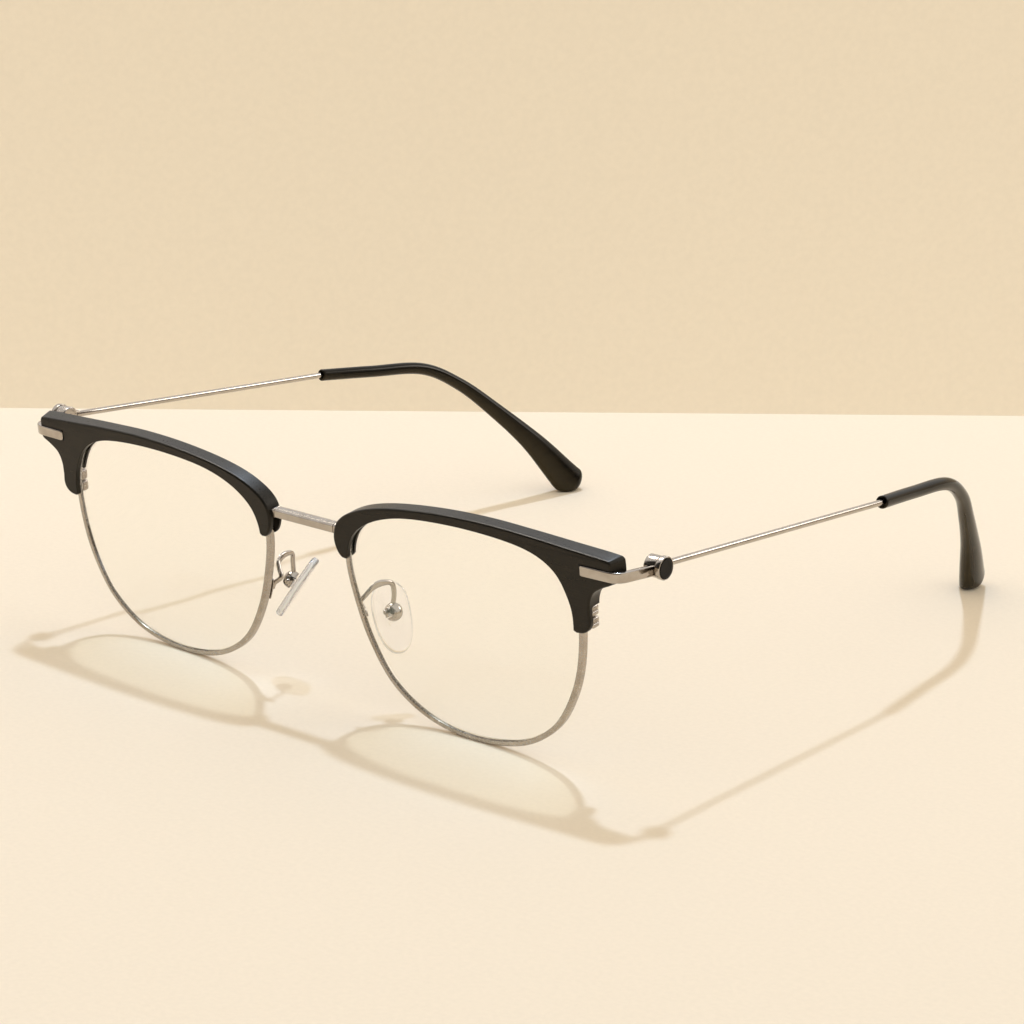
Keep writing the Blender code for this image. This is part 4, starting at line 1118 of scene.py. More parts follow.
def brow_rings():
    """Rings of the cap: the third share of a point is how far the cap's rear flares out there."""
    outer = smooth_curve([front_point(out, up) for out, up, _ in BROW_SHARES], BROW_STEPS)
    flares = smooth_curve([Vector((flare, 0, 0)) for _, _, flare in BROW_SHARES], BROW_STEPS)
    inner = lens_side()
    normals = outline_normals(outer + inner)

    def rise(x):
        share = min(max((x - BROW_LIFT_START) / (BROW_END - BROW_LIFT_START), 0), 1)
        return share * share * (3 - 2 * share)

    def ring(from_front, angle):
        roll = CREST_ROLL if from_front else REAR_ROLL
        points = []
        for i, point in enumerate(outer + inner):
            radius = roll if i < len(outer) else LENS_SIDE_ROLL
            flare = 0 if from_front or i >= len(outer) else flares[i].x * BROW_END_FLARE
            depth = radius * (1 - math.cos(angle))
            back = depth - BROW_FRONT if from_front else BROW_REAR - depth
            inset = normals[i] * (radius * (1 - math.sin(angle)))
            lift = 0 if from_front or point.z < STRIP_UP else BROW_REAR_LIFT * rise(point.x)
            points.append(point - inset + Vector((flare, back, lift)))
        return points

    angles = [math.radians(a) for a in ROLL_DEGREES]
    return [ring(True, a) for a in angles] + [ring(False, a) for a in reversed(angles)]


print("brow rings of", len(brow_rings()[0]), "points")

# %% Brow caps
LUG_WAY_TOP = BRIDGE_UP + 0.76 * MM
LUG_WAY_TALL = 9 * MM
RELIEF_TOP = front_point(0, 0.762).z


def make_brow():
    """The cap, cut by the wire's channel, the lug's way, a relief, the strip's notch, a bore."""
    slot_half = RIM_DEPTH / 2 + SEAT_GAP
    channel = prism(grown(RIM_LINE, RIM_RADIAL / 2 + SEAT_GAP), -slot_half, slot_half)
    nose_side = [p for p in RIM_LINE
                 if p.x < LENS_MIDDLE and LUG_WAY_TOP - LUG_WAY_TALL < p.z < LUG_WAY_TOP]
    nose_side = [Vector((0, 0, nose_side[0].z))] + nose_side + [Vector((0, 0, nose_side[-1].z))]
    lug_way = prism(nose_side, -slot_half, slot_half)
    relief = box((LENS_MIDDLE, -slot_half, 0), (BROW_END, BROW_REAR + OVERRUN, RELIEF_TOP))
    path = strip_path(14)
    path[0] -= Vector((SEAT_GAP, 0, 0))
    inner = STRIP_THICK / 2 + SEAT_GAP
    outer = STRIP_THICK / 2 + OVERRUN
    half = STRIP_TALL / 2 + SEAT_GAP
    section = [(-outer, -half), (inner, -half), (inner, half), (-outer, half)]
    notch = sweep(path, section, Vector((0, 0, 1)))
    bore = cylinder(BROW_SCREW[2] + SEAT_GAP, -BROW_SCREW_TIP - SEAT_GAP, BROW_REAR + OVERRUN)
    return combine(to_mesh(loft(brow_rings())), (channel, CUT), (lug_way, CUT), (relief, CUT),
                   (notch, CUT), (moved(bore, brow_screw_matrix()), CUT))


add_pair("brow_cap", "brow", make_brow(), FRONT, BROW_MOULDING)

# %% [markdown]
# ## Bridge
# A flat bar joins the two halves, brazed to a small lug at each end. Both ends carry a fine
# groove where the bar meets its ferrule. A bevelled box would do from far away, but the crowned
# top takes a highlight of its own. So the bar is lofted from a drawn section, and the groove is
# a few smaller rings near each end.

# %% Bridge
BRIDGE_LENGTH = 16.3 * MM
BRIDGE_TALL = 1.8 * MM
BRIDGE_DEEP = 2.6 * MM
BRIDGE_BACK = 0.5 * MM
BRIDGE_RINGS = [(0, 0.93), (0.1, 1), (0.85, 1), (0.9, 0.92), (1.0, 0.92), (1.05, 1)]
BRIDGE_LUG_HALF = 0.6 * MM
BRIDGE_LUG_ROOT = 0.3 * MM


def bridge_section(scale):
    """Flat in front and crowned on top, as (back, up) pairs."""
    deep = BRIDGE_DEEP / 2 * scale
    tall = BRIDGE_TALL / 2 * scale
    return rounded([(deep, -tall, 0.3 * MM), (deep, tall - 0.6 * MM, 0.45 * MM),
                    (0.2 * MM, tall, 1.2 * MM), (-0.8 * MM, tall - 0.1 * MM, 0.8 * MM),
                    (-deep, tall - 0.4 * MM, 0.1 * MM),
                    (-deep, -tall, 0.2 * MM)], 6)


def make_bridge():
    """A bar of rings, each at a distance in mm from its end and to a scale, with two lugs."""
    half = BRIDGE_LENGTH / 2
    steps = [(half - inward * MM, scale) for inward, scale in BRIDGE_RINGS]
    steps += [(-x, scale) for x, scale in reversed(steps)]
    rings = [[Vector((x, BRIDGE_BACK + a, BRIDGE_UP + b)) for a, b in bridge_section(scale)]
             for x, scale in steps]
    outer = grown(RIM_LINE, RIM_RADIAL / 2 + SEAT_GAP)
    root = half - BRIDGE_LUG_ROOT
    low = BRIDGE_UP - BRIDGE_LUG_HALF
    high = BRIDGE_UP + BRIDGE_LUG_HALF
    corners = [(root, low), (side_x(outer, low, True), low), (side_x(outer, high, True), high),
               (root, high)]
    lugs = []
    for sign in (1, -1):
        lug = [[Vector((sign * x, back + x * math.tan(FRONT_WRAP), z)) for x, z in corners]
               for back in (-BRIDGE_LUG_HALF, BRIDGE_LUG_HALF)]
        lugs.append((loft(lug), JOIN))
    mesh = combine(to_mesh(loft(rings)), *lugs)
    mesh.transform(STAND @ TILT)
    return mesh


add_piece("bridge_bar", make_bridge(), POLISHED_METAL, "front", "bridge")
print("bridge_bar", BRIDGE_LENGTH / MM, "mm long")

# %% [markdown]
# ## Screws
# Every screw here is a cheese head with one driver slot. A turned profile makes it, and a thin
# box cuts the slot. A thread this small would never show, so the shank stays plain.

# %% Screws
DRIVER_HALF = 0.125 * MM
DRIVER_DEEP = 0.18 * MM


def make_screw(sizes, length):
    """Head standing on z = 0 and shank running down. Sizes: head radius, height, shank radius."""
    head, height, shank = sizes
    profile = [(shank * 0.6, -length), (shank, shank * 0.4 - length), (shank, 0), (head, 0)]
    for angle in (0, 30, 60, 90):
        turn = math.radians(angle)
        edge = height * 0.45
        profile.append((head - edge * (1 - math.cos(turn)), height - edge * (1 - math.sin(turn))))
    slot = box((-head * 2, -DRIVER_HALF, height - DRIVER_DEEP),
               (head * 2, DRIVER_HALF, height * 2))
    return combine(to_mesh(turned(profile, 28)), (slot, CUT))


print("driver slot", round(2 * DRIVER_HALF / MM, 3), "mm wide")

# %% [markdown]
# ## Rim locks
# Two small blocks brazed behind the temple side of the eyewire, drawn together by a screw,
# close the rim on its lens. Their corners are tumbled round. A bevelled box is enough for a
# block of two millimetres, and two thin rods file the grooves that break up its sides.

# %% Rim locks
LOCK_WIDTH = 1.9 * MM
LOCK_DEPTH = 1.9 * MM
LOCK_TALL = 2.0 * MM
LOCK_OUTSET = 0.6 * MM
LOCK_EDGE = 0.42 * MM
LOCK_SCREW = (0.65 * MM, 0.40 * MM, 0.40 * MM)
BLIND_END = 0.5 * MM
WAIST_RADIUS = 0.36 * MM
WAIST_HALF = 1.6 * MM
WAIST_OFF = 0.12 * MM
WAIST_BACK = 0.8 * MM


def waist(axis, place):
    """A rod that files a groove across the middle of one side of a block."""
    rod = cylinder(WAIST_RADIUS, -WAIST_HALF, WAIST_HALF)
    return moved(moved(rod, Matrix.Rotation(QUARTER, 4, axis)), Matrix.Translation(place)), CUT


def make_locks():
    wire = RIM_LINE[0]
    low_x = wire.x + LOCK_OUTSET - LOCK_WIDTH / 2
    low_y = RIM_DEPTH / 2 + SEAT_GAP
    tip = 2 * LOCK_TALL + LOCK_GAP - BLIND_END
    seat = Matrix.Translation((low_x + LOCK_WIDTH / 2, low_y + LOCK_DEPTH / 2,
                               wire.z + LOCK_GAP / 2 + LOCK_TALL + SEAT_GAP))
    for name, low_z in (("upper", wire.z + LOCK_GAP / 2),
                        ("lower", wire.z - LOCK_GAP / 2 - LOCK_TALL)):
        block = box((low_x, low_y, low_z),
                    (low_x + LOCK_WIDTH, low_y + LOCK_DEPTH, low_z + LOCK_TALL), LOCK_EDGE, 4)
        bore = moved(cylinder(LOCK_SCREW[2] + SEAT_GAP, -tip - SEAT_GAP, OVERRUN), seat)
        middle = low_z + LOCK_TALL / 2
        outer = waist("X", (low_x + LOCK_WIDTH + WAIST_OFF, low_y + WAIST_BACK, middle))
        front = waist("Y", (low_x + LOCK_WIDTH * 0.55, low_y - WAIST_OFF, middle))
        add_pair(f"closing_block_{name}", f"rim_lock_{name}",
                 combine(to_mesh(block), (bore, CUT), outer, front), FRONT, SATIN_METAL)
    add_pair("closing_screw", "rim_lock_screw", make_screw(LOCK_SCREW, tip), FRONT @ seat,
             SATIN_METAL)


make_locks()

# %% [markdown]
# ## Endpieces
# The endpiece is the bright fitting at each end of the front: a strip let into the face of the
# brow, bent back to a slotted drum that holds the temple, with a bracket behind the brow.
# A black enamelled disc fills the drum's outer end. The real ones are soldered together, so
# Booleans join them here into one mesh with nothing left inside it, and the cuts come last.

# %% Section of the drum
DRUM_INNER = 1.4 * MM
DRUM_OUTER = 2.1 * MM
DRUM_STEP = 0.15 * MM
DRUM_GROOVE = 0.18 * MM
FLANGE_WIDE = 1.0 * MM
CAP_RECESS = 0.35 * MM
CAP_LIP = 0.2 * MM


def drum_profile():
    """Half section of the drum as (radius, distance out, corner radius)."""
    body = DRUM_RADIUS - DRUM_STEP
    floor = body - DRUM_GROOVE
    flange = DRUM_OUTER - FLANGE_WIDE
    groove = flange - DRUM_GROOVE
    recess = DRUM_RADIUS - CAP_LIP
    return [
        (0.3 * MM, -DRUM_INNER, 0), (body, -DRUM_INNER, 0.25 * MM), (body, groove, 0.04 * MM),
        (floor, groove, 0.03 * MM), (floor, flange, 0.03 * MM), (DRUM_RADIUS, flange, 0.14 * MM),
        (DRUM_RADIUS, DRUM_OUTER, 0.16 * MM), (recess, DRUM_OUTER, 0.08 * MM),
        (recess, DRUM_OUTER - CAP_RECESS, 0),
    ]


print("drum section of", len(rounded(drum_profile(), 4)), "points")

# %% Strip
STRIP_END_ROUND = 0.5 * MM
STRIP_END_DEGREES = (8, 22, 38, 55, 72, 90)


def make_strip():
    """The strip as lofted rings: its free end is filed round."""
    path = strip_path(16)
    frames = path_frames(path, Vector((0, 0, 1)))
    start, side, up = frames[0]
    along = (path[1] - start).normalized()
    rings = []
    for degrees in STRIP_END_DEGREES:
        angle = math.radians(degrees)
        here = start + along * (STRIP_END_ROUND * (1 - math.cos(angle)))
        less = STRIP_END_ROUND * (1 - math.sin(angle))
        section = bar_section(STRIP_THICK / 2 - less / 2, STRIP_TALL / 2 - less, 0.14 * MM, 5)
        rings.append(section_at((here, side, up), section))
    section = bar_section(STRIP_THICK / 2, STRIP_TALL / 2, 0.2 * MM, 5)
    return loft(rings + [section_at(frame_at, section) for frame_at in frames[1:]])


print("strip", STRIP_TALL / MM, "by", STRIP_THICK / MM, "mm")

# %% Endpieces
EYE_RADIUS = 1.15 * MM
SLOT_HEIGHT = 1.3 * MM
HINGE_SCREW = (0.70 * MM, 0.40 * MM, 0.45 * MM)
HINGE_SCREW_SUNK = 0.3 * MM
PLATE_SHORT = 0.3 * MM
PLATE_OVERLAP = 0.5 * MM


def make_endpiece():
    """Strip, plate, neck and drum joined, then cut by the slot, the screw's well and the bores."""
    strip = moved(make_strip(), LEANING)
    drum = along_x(turned(rounded(drum_profile(), 4), 64))
    low, high = bracket_corners()
    edge = BROW_END - PLATE_SHORT
    plate = moved(box(low, (edge, high[1], high[2]), 0.12 * MM), LEANING)
    neck = moved(box((edge - PLATE_OVERLAP, low[1], low[2]),
                     (high[0], high[1], low[2] + BRACKET_TALL / 2), 0.1 * MM), LEANING)
    at_hinge = Matrix.Translation(HINGE_DRAWN)
    wall = EYE_RADIUS + RUNNING_GAP
    slot = box((-DRUM_INNER - OVERRUN, -wall, -SLOT_HEIGHT / 2),
               (wall, DRUM_RADIUS + OVERRUN, SLOT_HEIGHT / 2))
    head, height, shank = HINGE_SCREW
    seat = height - DRUM_RADIUS + HINGE_SCREW_SUNK
    well = cylinder(head + SEAT_GAP, -DRUM_RADIUS - OVERRUN, seat)
    bore = cylinder(shank + SEAT_GAP, seat - OVERRUN, DRUM_RADIUS - BLIND_END + SEAT_GAP)
    hole = cylinder(BROW_SCREW[2] + SEAT_GAP, 0, BROW_REAR + BRACKET_THICK + OVERRUN)
    return combine(to_mesh(strip), (plate, JOIN), (neck, JOIN), (moved(drum, at_hinge), JOIN),
                   (moved(slot, at_hinge), CUT), (moved(well, at_hinge), CUT),
                   (moved(bore, at_hinge), CUT), (moved(hole, LEANING @ brow_screw_matrix()), CUT))


add_pair("endpiece_fitting", "endpiece", make_endpiece(), STAND, POLISHED_METAL)

# %% Enamelled caps


def make_cap():
    """A disc that sits low in the drum's rim, with a rolled edge and a slightly hollow face."""
    radius = DRUM_RADIUS - CAP_LIP - SEAT_GAP
    low = DRUM_OUTER - CAP_RECESS + SEAT_GAP
    profile = [(radius * 0.98, low), (radius, low + 0.05 * MM), (radius, DRUM_OUTER - 0.1 * MM),
               (radius - 0.03 * MM, DRUM_OUTER - 0.04 * MM), (radius - 0.1 * MM, DRUM_OUTER)]
    profile += [(radius * s, DRUM_OUTER - 0.02 * MM * (1 - s)) for s in (0.8, 0.6, 0.4, 0.2)]
    return to_mesh(along_x(turned(profile, 64)))


add_pair("cap_disc", "hinge_cap", make_cap(), AT_HINGE, CAP_ENAMEL)

# %% Hinge screws and brow screws
SCREW_SEAT = HINGE_SCREW[1] - DRUM_RADIUS + HINGE_SCREW_SUNK - SEAT_GAP
add_pair("pivot_screw", "hinge_screw",
         make_screw(HINGE_SCREW, DRUM_RADIUS - BLIND_END - SCREW_SEAT),
         AT_HINGE @ Matrix.Translation((0, 0, SCREW_SEAT)) @ Matrix.Rotation(math.pi, 4, "X"),
         SATIN_METAL)
BROW_SCREW_SEAT = BROW_REAR + BRACKET_THICK + SEAT_GAP * 2
add_pair("bracket_screw", "brow_screw", make_screw(BROW_SCREW, BROW_SCREW_SEAT + BROW_SCREW_TIP),
         FRONT @ brow_screw_matrix() @ Matrix.Translation((0, 0, BROW_SCREW_SEAT)),
         SATIN_METAL)

# %% [markdown]
# ## Temples
# A spring wire runs straight back from an eye in the drum's slot and carries on inside the tip
# as its core. The tip is a sleeve of cellulose acetate, warmed and pushed over the wire, then
# bent over the ear: round at its mouth and flattened into a paddle at its end. Both follow one
# curve, so the wire stays in the middle of its sleeve. A bevelled curve object could get thicker
# on the way but not flatter, so the tip is lofted from rings instead.

# %% Path of the temple
TEMPLE_REACH = 138.0 * MM
TIP_INSET = 19.8 * MM
TEMPLE_SHARES = [
    (0.521, 0.076, 0.107), (0.622, 0.172, 0.140), (0.729, 0.263, 0.183),
    (0.801, 0.384, 0.306), (0.863, 0.561, 0.485), (0.925, 0.753, 0.692),
    (0.978, 0.929, 0.913), (1.000, 1.000, 1.000),
]
CORE_END_SHARE = 0.62
TIP_STEPS = 12


def temple_points():
    """Points of the tip's centreline from shares of its reach back, its inset and its drop."""
    return [Vector((-inward * TIP_INSET, back * TEMPLE_REACH, -down * HINGE_DRAWN.z))
            for back, inward, down in TEMPLE_SHARES]


TIP_LINE = smooth_curve(temple_points(), TIP_STEPS)
CORE_COUNT = round(CORE_END_SHARE * len(TIP_LINE))
print("tip line of", len(TIP_LINE), "points, the wire's core ends at point", CORE_COUNT)

# %% Temple wires
WIRE_RADIUS = 0.6 * MM
WIRE_START = 2.6 * MM
WIRE_STEPS = 12
EYE_EDGE = 0.06 * MM
EYE_NECK_HALF = 0.55 * MM
EYE_NECK_REACH = 3.4 * MM


def make_wire():
    start = TIP_LINE[0] * (WIRE_START / TIP_LINE[0].y)
    near = [start.lerp(TIP_LINE[0], k / WIRE_STEPS) for k in range(WIRE_STEPS)]
    path = near + TIP_LINE[:CORE_COUNT - 2]
    wire = sweep(path, ellipse(WIRE_RADIUS, WIRE_RADIUS, 20), Vector((1, 0, 0)))
    half = SLOT_HEIGHT / 2 - RUNNING_GAP
    eye = turned([(EYE_RADIUS - EYE_EDGE, -half), (EYE_RADIUS, EYE_EDGE - half),
                  (EYE_RADIUS, half - EYE_EDGE), (EYE_RADIUS - EYE_EDGE, half)], 40)
    neck = box((-EYE_NECK_HALF, 0, -half), (EYE_NECK_HALF, EYE_NECK_REACH, half), 0.15 * MM)
    pin = cylinder(HINGE_SCREW[2] + SEAT_GAP, -OVERRUN, OVERRUN)
    return combine(to_mesh(wire), (neck, JOIN), (eye, JOIN), (pin, CUT))


add_pair("spring_wire", "temple_wire", make_wire(), AT_HINGE, DRAWN_METAL,
         body="{}_temple")

# %% Growth of the tip
TIP_RADIUS = 1.25 * MM
TIP_WIDE = 4.2 * MM
TIP_THICK = 2.3 * MM
TIP_GROWTH_SHARES = [
    (0.00, 0.00, 0.00), (0.30, 0.01, 0.06), (0.48, 0.04, 0.14), (0.62, 0.15, 0.26),
    (0.76, 0.36, 0.46), (0.88, 0.70, 0.76), (1.00, 1.00, 1.00),
]


def tip_growth(share):
    """Half width and half thickness of the tip at a share of its length, without waves."""
    table = TIP_GROWTH_SHARES
    k = max(i for i in range(len(table) - 1) if table[i][0] <= share)
    span = table[k + 1][0] - table[k][0]
    t = (share - table[k][0]) / span
    sizes = []
    for column, full in ((1, TIP_WIDE), (2, TIP_THICK)):
        slopes = []
        for i in (k, k + 1):
            low, high = table[max(i - 1, 0)], table[min(i + 1, len(table) - 1)]
            slopes.append((high[column] - low[column]) / (high[0] - low[0]) * span)
        grown_by = ((2 * t ** 3 - 3 * t ** 2 + 1) * table[k][column]
                    + (3 * t ** 2 - 2 * t ** 3) * table[k + 1][column]
                    + (t ** 3 - 2 * t ** 2 + t) * slopes[0] + (t ** 3 - t ** 2) * slopes[1])
        sizes.append(TIP_RADIUS + grown_by * (full - TIP_RADIUS))
    return sizes


print("half way along, the tip's half sizes are",
      [round(size / MM, 2) for size in tip_growth(0.5)], "mm")

# %% Rings of the tip
TIP_ROUNDING = 2.4 * MM
TIP_END_SHARES = (0.97, 0.85, 0.7, 0.55, 0.42, 0.3, 0.2, 0.11, 0.04, 0.01)
TIP_SIDES = 36
SNUG_GAP = 0.03 * MM
MOUTH_FLARE = 0.3 * MM


def tip_ring(frame_at, wide, thick):
    return section_at(frame_at, ellipse(wide, thick, TIP_SIDES))


def tip_rings(frames):
    """Rings up the bore to the tip's mouth, over its lip and along its outside to the end."""
    lengths = [0]
    for (a, _, _), (b, _, _) in zip(frames, frames[1:]):
        lengths.append(lengths[-1] + (b - a).length)
    snug = WIRE_RADIUS + SNUG_GAP
    bore = WIRE_RADIUS + RUNNING_GAP
    rings = [tip_ring(frame_at, snug, snug) for frame_at in reversed(frames[1:CORE_COUNT])]
    point, across, up = frames[0]
    along = (frames[1][0] - point).normalized()
    mouth = [(bore, 0.7), (bore + MOUTH_FLARE, 0), (TIP_RADIUS - MOUTH_FLARE, 0),
             (TIP_RADIUS - 0.12 * MM, 0.05), (TIP_RADIUS - 0.02 * MM, 0.17), (TIP_RADIUS, 0.3)]
    for radius, depth in mouth:
        rings.append(tip_ring((point + along * (depth * MM), across, up), radius, radius))
    for frame_at, length in zip(frames[1:], lengths[1:]):
        wide, thick = tip_growth(length / lengths[-1])
        if lengths[-1] - length >= TIP_ROUNDING:
            rings.append(tip_ring(frame_at, wide, thick))
    end, across, up = frames[-1]
    last = (end - frames[-2][0]).normalized()
    for share in TIP_END_SHARES:
        swell = math.sqrt(1 - (1 - share) ** 2)
        wide, thick = tip_growth(1 - TIP_ROUNDING * share / lengths[-1])
        rings.append(tip_ring((end - last * (TIP_ROUNDING * share), across, up),
                              wide * swell, thick * swell))
    return rings


print("tip rings", len(tip_rings(path_frames(TIP_LINE, Vector((1, 0, 0))))))

# %% Temple tips
TIP_SOLE = 1.4 * MM


def make_tip():
    """A tip with a soft sole and an attribute for painted light that grows towards the hollow of
    its bend.
    """
    frames = path_frames(TIP_LINE, Vector((1, 0, 0)))
    rings = tip_rings(frames)
    bm = loft(rings)
    for vert in bm.verts:
        above = vert.co.z + HINGE_DRAWN.z
        if above < TIP_SOLE:
            vert.co.z = max(above + TIP_SOLE, 0) ** 2 / (4 * TIP_SOLE) - HINGE_DRAWN.z
    mesh = to_mesh(bm)
    hollow = -1 if frames[0][1].z > 0 else 1
    around = [0.5 + 0.5 * hollow * a for a, _ in ellipse(1, 1, TIP_SIDES)]
    # This attribute says where the painted light through the acetate shows: 1 on the hollow side of
    # the bend.
    painted_light_attribute = mesh.attributes.new("painted_light_share", "FLOAT", "POINT")
    painted_light_attribute.data.foreach_set("value", (around * (len(rings) + 1))[:len(mesh.vertices)])
    return mesh


add_pair("acetate_tip", "temple_tip", make_tip(), AT_HINGE, TIP_ACETATE,
         body="{}_temple")

# %% [markdown]
# ## Nose pads and their arms
# A thin polished wire rises from a foot on the eyewire, bends back and down, and ends in a
# small domed box. The pad's lug sits in the box on a cross screw, so that the pad can rock.
# All that is near the pad is drawn about the axis of that screw, in the pad's own directions,
# so that the lug still fits its pocket when the pad turns.

# %% Where the pads rock
PAD_SPLAY = math.radians(28.5)
PAD_LEAN = math.radians(32.0)
PIVOT_UP = 17.4 * MM
PIVOT_OUT = 0.9 * MM
PIVOT_BACK = 7.0 * MM


def pad_axes():
    """x along the pad's short axis, y towards the nose, z up its long axis."""
    flat = math.cos(PAD_LEAN)
    normal = Vector((-flat * math.cos(PAD_SPLAY), flat * math.sin(PAD_SPLAY), -math.sin(PAD_LEAN)))
    upward = Vector((0, 0, 1))
    upward = (upward - normal * upward.dot(normal)).normalized()
    return Matrix((normal.cross(upward), normal, upward)).transposed().to_4x4()


PIVOT = LEANING @ Vector((side_x(RIM_LINE, PIVOT_UP, True) + PIVOT_OUT, PIVOT_BACK, PIVOT_UP))
AT_PIVOT = Matrix.Translation(PIVOT) @ pad_axes()
print("pad pivot", [round(v / MM, 2) for v in PIVOT], "mm")

# %% Path of the gooseneck
BOX_RADIUS = 1.7 * MM
BOX_ENTRY = 0.5 * MM
BALL_SHIFT = 0.8 * MM
ARM_RADIUS = 0.45 * MM
ARM_FOOT_UP = 18.2 * MM
ARM_FOOT_IN = 0.2 * MM
ARM_BOW = 1.9 * MM
ARM_RISE = 5.8 * MM
ARM_SHARES = [
    (0.00, 0.00, 0.00), (0.01, 0.18, 0.25), (0.07, 0.40, 0.95), (0.14, 0.64, 0.50),
    (0.22, 0.81, 0.20), (0.42, 0.93, 0.12), (0.68, 0.95, 0.06), (0.93, 0.86, 0.00),
    (1.00, 0.56, -0.12),
]


def arm_path():
    """From the foot to the box: shares of the way back, of the rise and of the bow outward."""
    foot_x = side_x(RIM_LINE, ARM_FOOT_UP, True) - ARM_FOOT_IN
    start = LEANING @ Vector((foot_x, RIM_DEPTH / 2 + SEAT_GAP + ARM_RADIUS, ARM_FOOT_UP))
    end = PIVOT + pad_axes().to_3x3() @ Vector((BALL_SHIFT, 0, BOX_RADIUS - BOX_ENTRY))
    points = []
    for back, up, bow in ARM_SHARES:
        point = start.lerp(end, back)
        points.append(Vector((point.x - bow * ARM_BOW, point.y, start.z + up * ARM_RISE)))
    return smooth_curve(points + [end], 8)


print("gooseneck path of", len(arm_path()), "points")

# %% Gooseneck and foot
ARM_LEAF = 0.55
LEAF_REACH = 0.2
FOOT_HALF = 2.6 * MM
FOOT_WIDE = 0.4 * MM
FOOT_THICK = 0.3 * MM
FOOT_OUT = 0.2 * MM


def make_gooseneck():
    """A round wire that is pressed to a flat leaf a little past its middle."""
    frames = path_frames(arm_path(), Vector((1, 0, 0)))
    rings = []
    for i, frame_at in enumerate(frames):
        leaf = max(0, 1 - abs(i / (len(frames) - 1) - ARM_LEAF) / LEAF_REACH)
        leaf = leaf * leaf * (3 - 2 * leaf)
        section = ellipse(ARM_RADIUS * (1 + 0.5 * leaf), ARM_RADIUS * (1 - 0.35 * leaf), 20)
        rings.append(section_at(frame_at, section))
    return loft(rings)


def make_foot():
    """The flat foot, soldered behind the eyewire. It follows the wire and narrows to its ends."""
    low = RIM_DEPTH / 2 + SEAT_GAP
    foot = []
    for point, normal in zip(RIM_LINE, outline_normals(RIM_LINE)):
        if point.x > LENS_MIDDLE or abs(point.z - ARM_FOOT_UP) > FOOT_HALF:
            continue
        rise = abs(point.z - ARM_FOOT_UP) / FOOT_HALF
        half = FOOT_WIDE * math.sqrt(1 - rise ** 4)
        centre = point + normal * FOOT_OUT
        corners = rounded([(half, low, 0), (half, low + FOOT_THICK, 0.12 * MM),
                           (-half, low + FOOT_THICK, 0.12 * MM), (-half, low, 0)], 3)
        foot.append([centre + normal * out + Vector((0, back, 0)) for out, back in corners])
    return loft(foot)


print("foot", 2 * FOOT_HALF / MM, "mm long")

# %% Box
STANDOFF = 1.25 * MM
LUG_HALF = 0.5 * MM
LUG_RADIUS = 0.75 * MM
BOX_LENGTH = 2.1 * MM
BOX_DOME = 1.35 * MM
BOX_MOUTH = STANDOFF - 0.4 * MM
PAD_SCREW = (0.48 * MM, 0.30 * MM, 0.32 * MM)


def make_box():
    """The domed box, open towards the pad."""
    rear = BOX_MOUTH - BOX_LENGTH
    profile = [(0.05 * MM, -rear)]
    for angle in range(8, 91, 8):
        turn = math.radians(angle * 90 / 88)
        profile.append((BOX_RADIUS * math.sin(turn), BOX_DOME * (math.cos(turn) - 1) - rear))
    profile += [(BOX_RADIUS, 0.18 * MM - BOX_MOUTH),
                (BOX_RADIUS - 0.05 * MM, 0.05 * MM - BOX_MOUTH),
                (BOX_RADIUS - 0.18 * MM, -BOX_MOUTH)]
    shell = moved(turned(profile, 48), Matrix.Rotation(QUARTER, 4, "X"))
    return moved(shell, Matrix.Translation((BALL_SHIFT, 0, 0)))


print("box", 2 * BOX_RADIUS / MM, "mm across,", BOX_LENGTH / MM, "mm deep")

# %% Pad arms
POCKET_TALL = 1.1 * MM


def make_arm():
    """Gooseneck, foot and box joined, then cut by the lug's pocket, a screw's well and a bore."""
    wide = LUG_HALF + RUNNING_GAP
    depth = LUG_RADIUS + RUNNING_GAP
    pocket = box((-wide, -depth, -POCKET_TALL), (wide, BOX_MOUTH + OVERRUN, POCKET_TALL))
    head, height, shank = PAD_SCREW
    well = along_x(cylinder(head + SEAT_GAP, BOX_RADIUS - height, BOX_RADIUS + OVERRUN))
    bore = along_x(cylinder(shank + SEAT_GAP, -BOX_RADIUS - OVERRUN, BOX_RADIUS))
    return combine(to_mesh(make_gooseneck()), (moved(make_foot(), LEANING), JOIN),
                   (moved(make_box(), AT_PIVOT), JOIN), (moved(pocket, AT_PIVOT), CUT),
                   (moved(well, AT_PIVOT), CUT), (moved(bore, AT_PIVOT), CUT))


add_pair("pad_gooseneck", "pad_arm", make_arm(), STAND, POLISHED_METAL)

# %% Pad screws
PAD_SCREW_SEAT = BOX_RADIUS - PAD_SCREW[1] + SEAT_GAP
BUTTON = [(0.24, 0.46), (0.4, 0.4), (0.48, 0.24), (0.45, 0.08), (0.3, 0)]


def make_pad_screw():
    """The cross screw: its far end is riveted over into a small button."""
    through = PAD_SCREW_SEAT + BOX_RADIUS - BALL_SHIFT - 0.05 * MM
    button = turned([(radius * MM, -through - beyond * MM) for radius, beyond in BUTTON], 24)
    return combine(make_screw(PAD_SCREW, through - 0.1 * MM), (button, JOIN))


add_pair("pad_cross_screw", "pad_screw", make_pad_screw(),
         STAND @ AT_PIVOT @ Matrix.Translation((PAD_SCREW_SEAT, 0, 0))
         @ Matrix.Rotation(QUARTER, 4, "Y"),
         SATIN_METAL)

# %% Outline of a pad
PAD_LONG = 13.4 * MM
PAD_WIDE = 7.6 * MM
PAD_POINTS = 64
PAD_SQUARENESS = 2.3
PAD_TAPER = 0.07


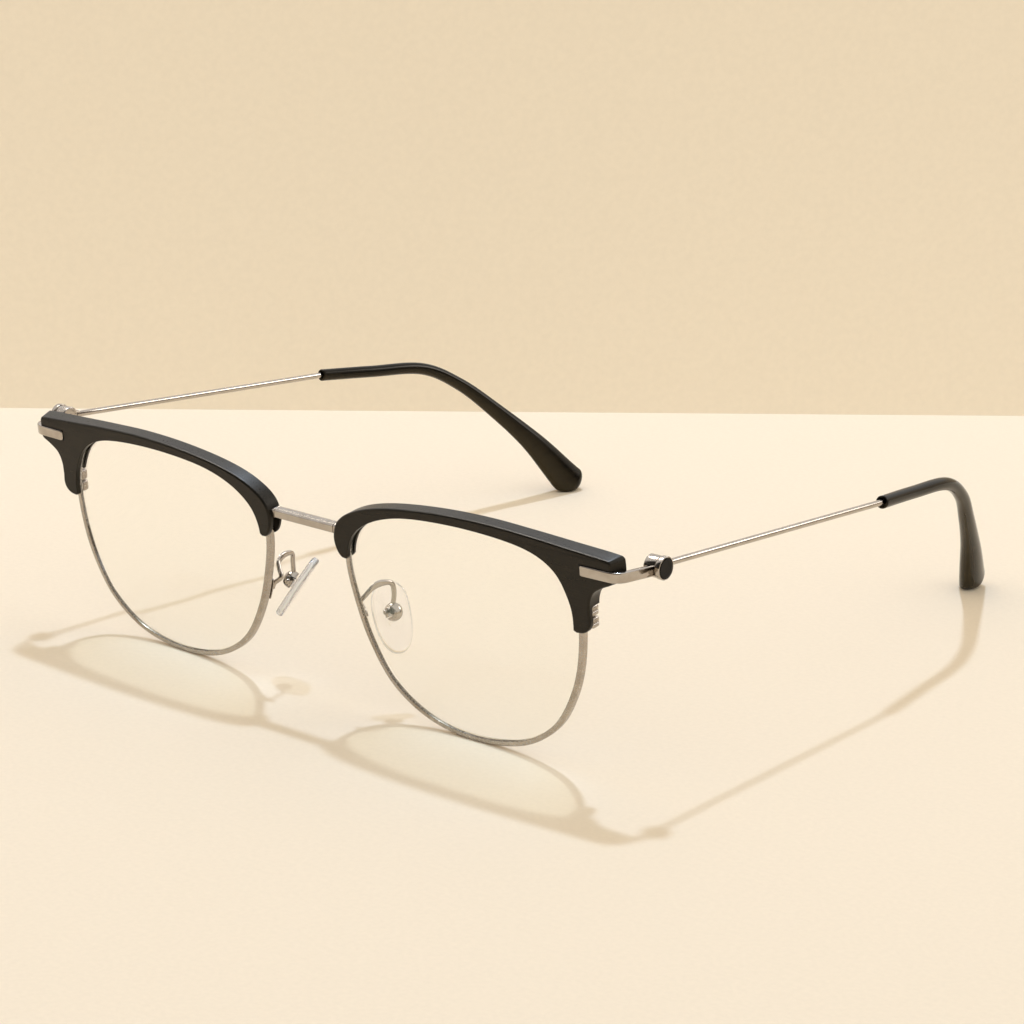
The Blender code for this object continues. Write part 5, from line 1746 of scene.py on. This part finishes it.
def pad_outline(grow, share=1):
    """Rounded pad outline, a little narrower at its lower end, in the pad's XZ plane."""
    points = []
    for i in range(PAD_POINTS):
        turn = 2 * math.pi * i / PAD_POINTS
        square = 2 / PAD_SQUARENESS
        x = math.copysign(abs(math.cos(turn)) ** square, math.cos(turn))
        z = math.copysign(abs(math.sin(turn)) ** square, math.sin(turn))
        width = PAD_WIDE / 2 * (1 + PAD_TAPER * z) + grow
        points.append(Vector((x * width * share, 0, z * (PAD_LONG / 2 + grow) * share)))
    return points


print("pad", PAD_LONG / MM, "by", PAD_WIDE / MM, "mm")

# %% Nose pads
PAD_THICK = 1.4 * MM
PAD_ROLL = 0.45 * MM
PAD_RISE = 0.65 * MM
PLATE_SHIFT = 1.0 * MM
PAD_BACK = [(0.05, -0.06), (0.3, -0.06), (0.36, -0.05), (0.38, 0.06), (0.5, 0.06), (0.53, 0.0),
            (0.75, 0.0)]
PAD_FACE = (0.85, 0.65, 0.45, 0.25, 0.08)


def make_pad():
    """The pad is drawn about its pivot, which lies behind its back face."""
    soft = PAD_THICK / 2
    rings = [(pad_outline(-PAD_ROLL, share), depth * MM) for share, depth in PAD_BACK]
    for angle in range(-90, 91, 15):
        turn = math.radians(angle)
        rings.append((pad_outline(PAD_ROLL * (math.cos(turn) - 1)), soft + soft * math.sin(turn)))
    rings += [(pad_outline(-PAD_ROLL, share), PAD_THICK) for share in PAD_FACE]
    rings = [[p + Vector((PLATE_SHIFT, STANDOFF + depth, -PAD_RISE)) for p in ring]
             for ring, depth in rings]
    eye = along_x(cylinder(LUG_RADIUS, -LUG_HALF, LUG_HALF, 32))
    stem = box((-LUG_HALF, 0, -LUG_RADIUS), (LUG_HALF, STANDOFF + soft, LUG_RADIUS))
    hole = along_x(cylinder(PAD_SCREW[2] + SEAT_GAP, -LUG_HALF - OVERRUN, LUG_HALF + OVERRUN))
    mesh = combine(to_mesh(loft(rings)), (stem, JOIN), (eye, JOIN), (hole, CUT))
    milky = mesh.attributes.new("edge_share", "FLOAT", "POINT")
    for vert in mesh.vertices:
        milky.data[vert.index].value = 1 - abs(vert.normal.y)
    return mesh


add_pair("silicone_pad", "nose_pad", make_pad(), STAND @ AT_PIVOT, PAD_SILICONE,
         body="{}_pad", sharp=50)

# %% [markdown]
# ## Sizes
# The last cell writes the solid's box and the shown model's box side by side, so that a piece
# that has grown out of the solid is noticed.

# %% Sizes of the shown model
SHOWN_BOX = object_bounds()
for name, corners in (("CAD", CAD_BOX), ("shown", SHOWN_BOX)):
    print(name, [tuple(round(v * 1000, 2) for v in corner) for corner in corners])
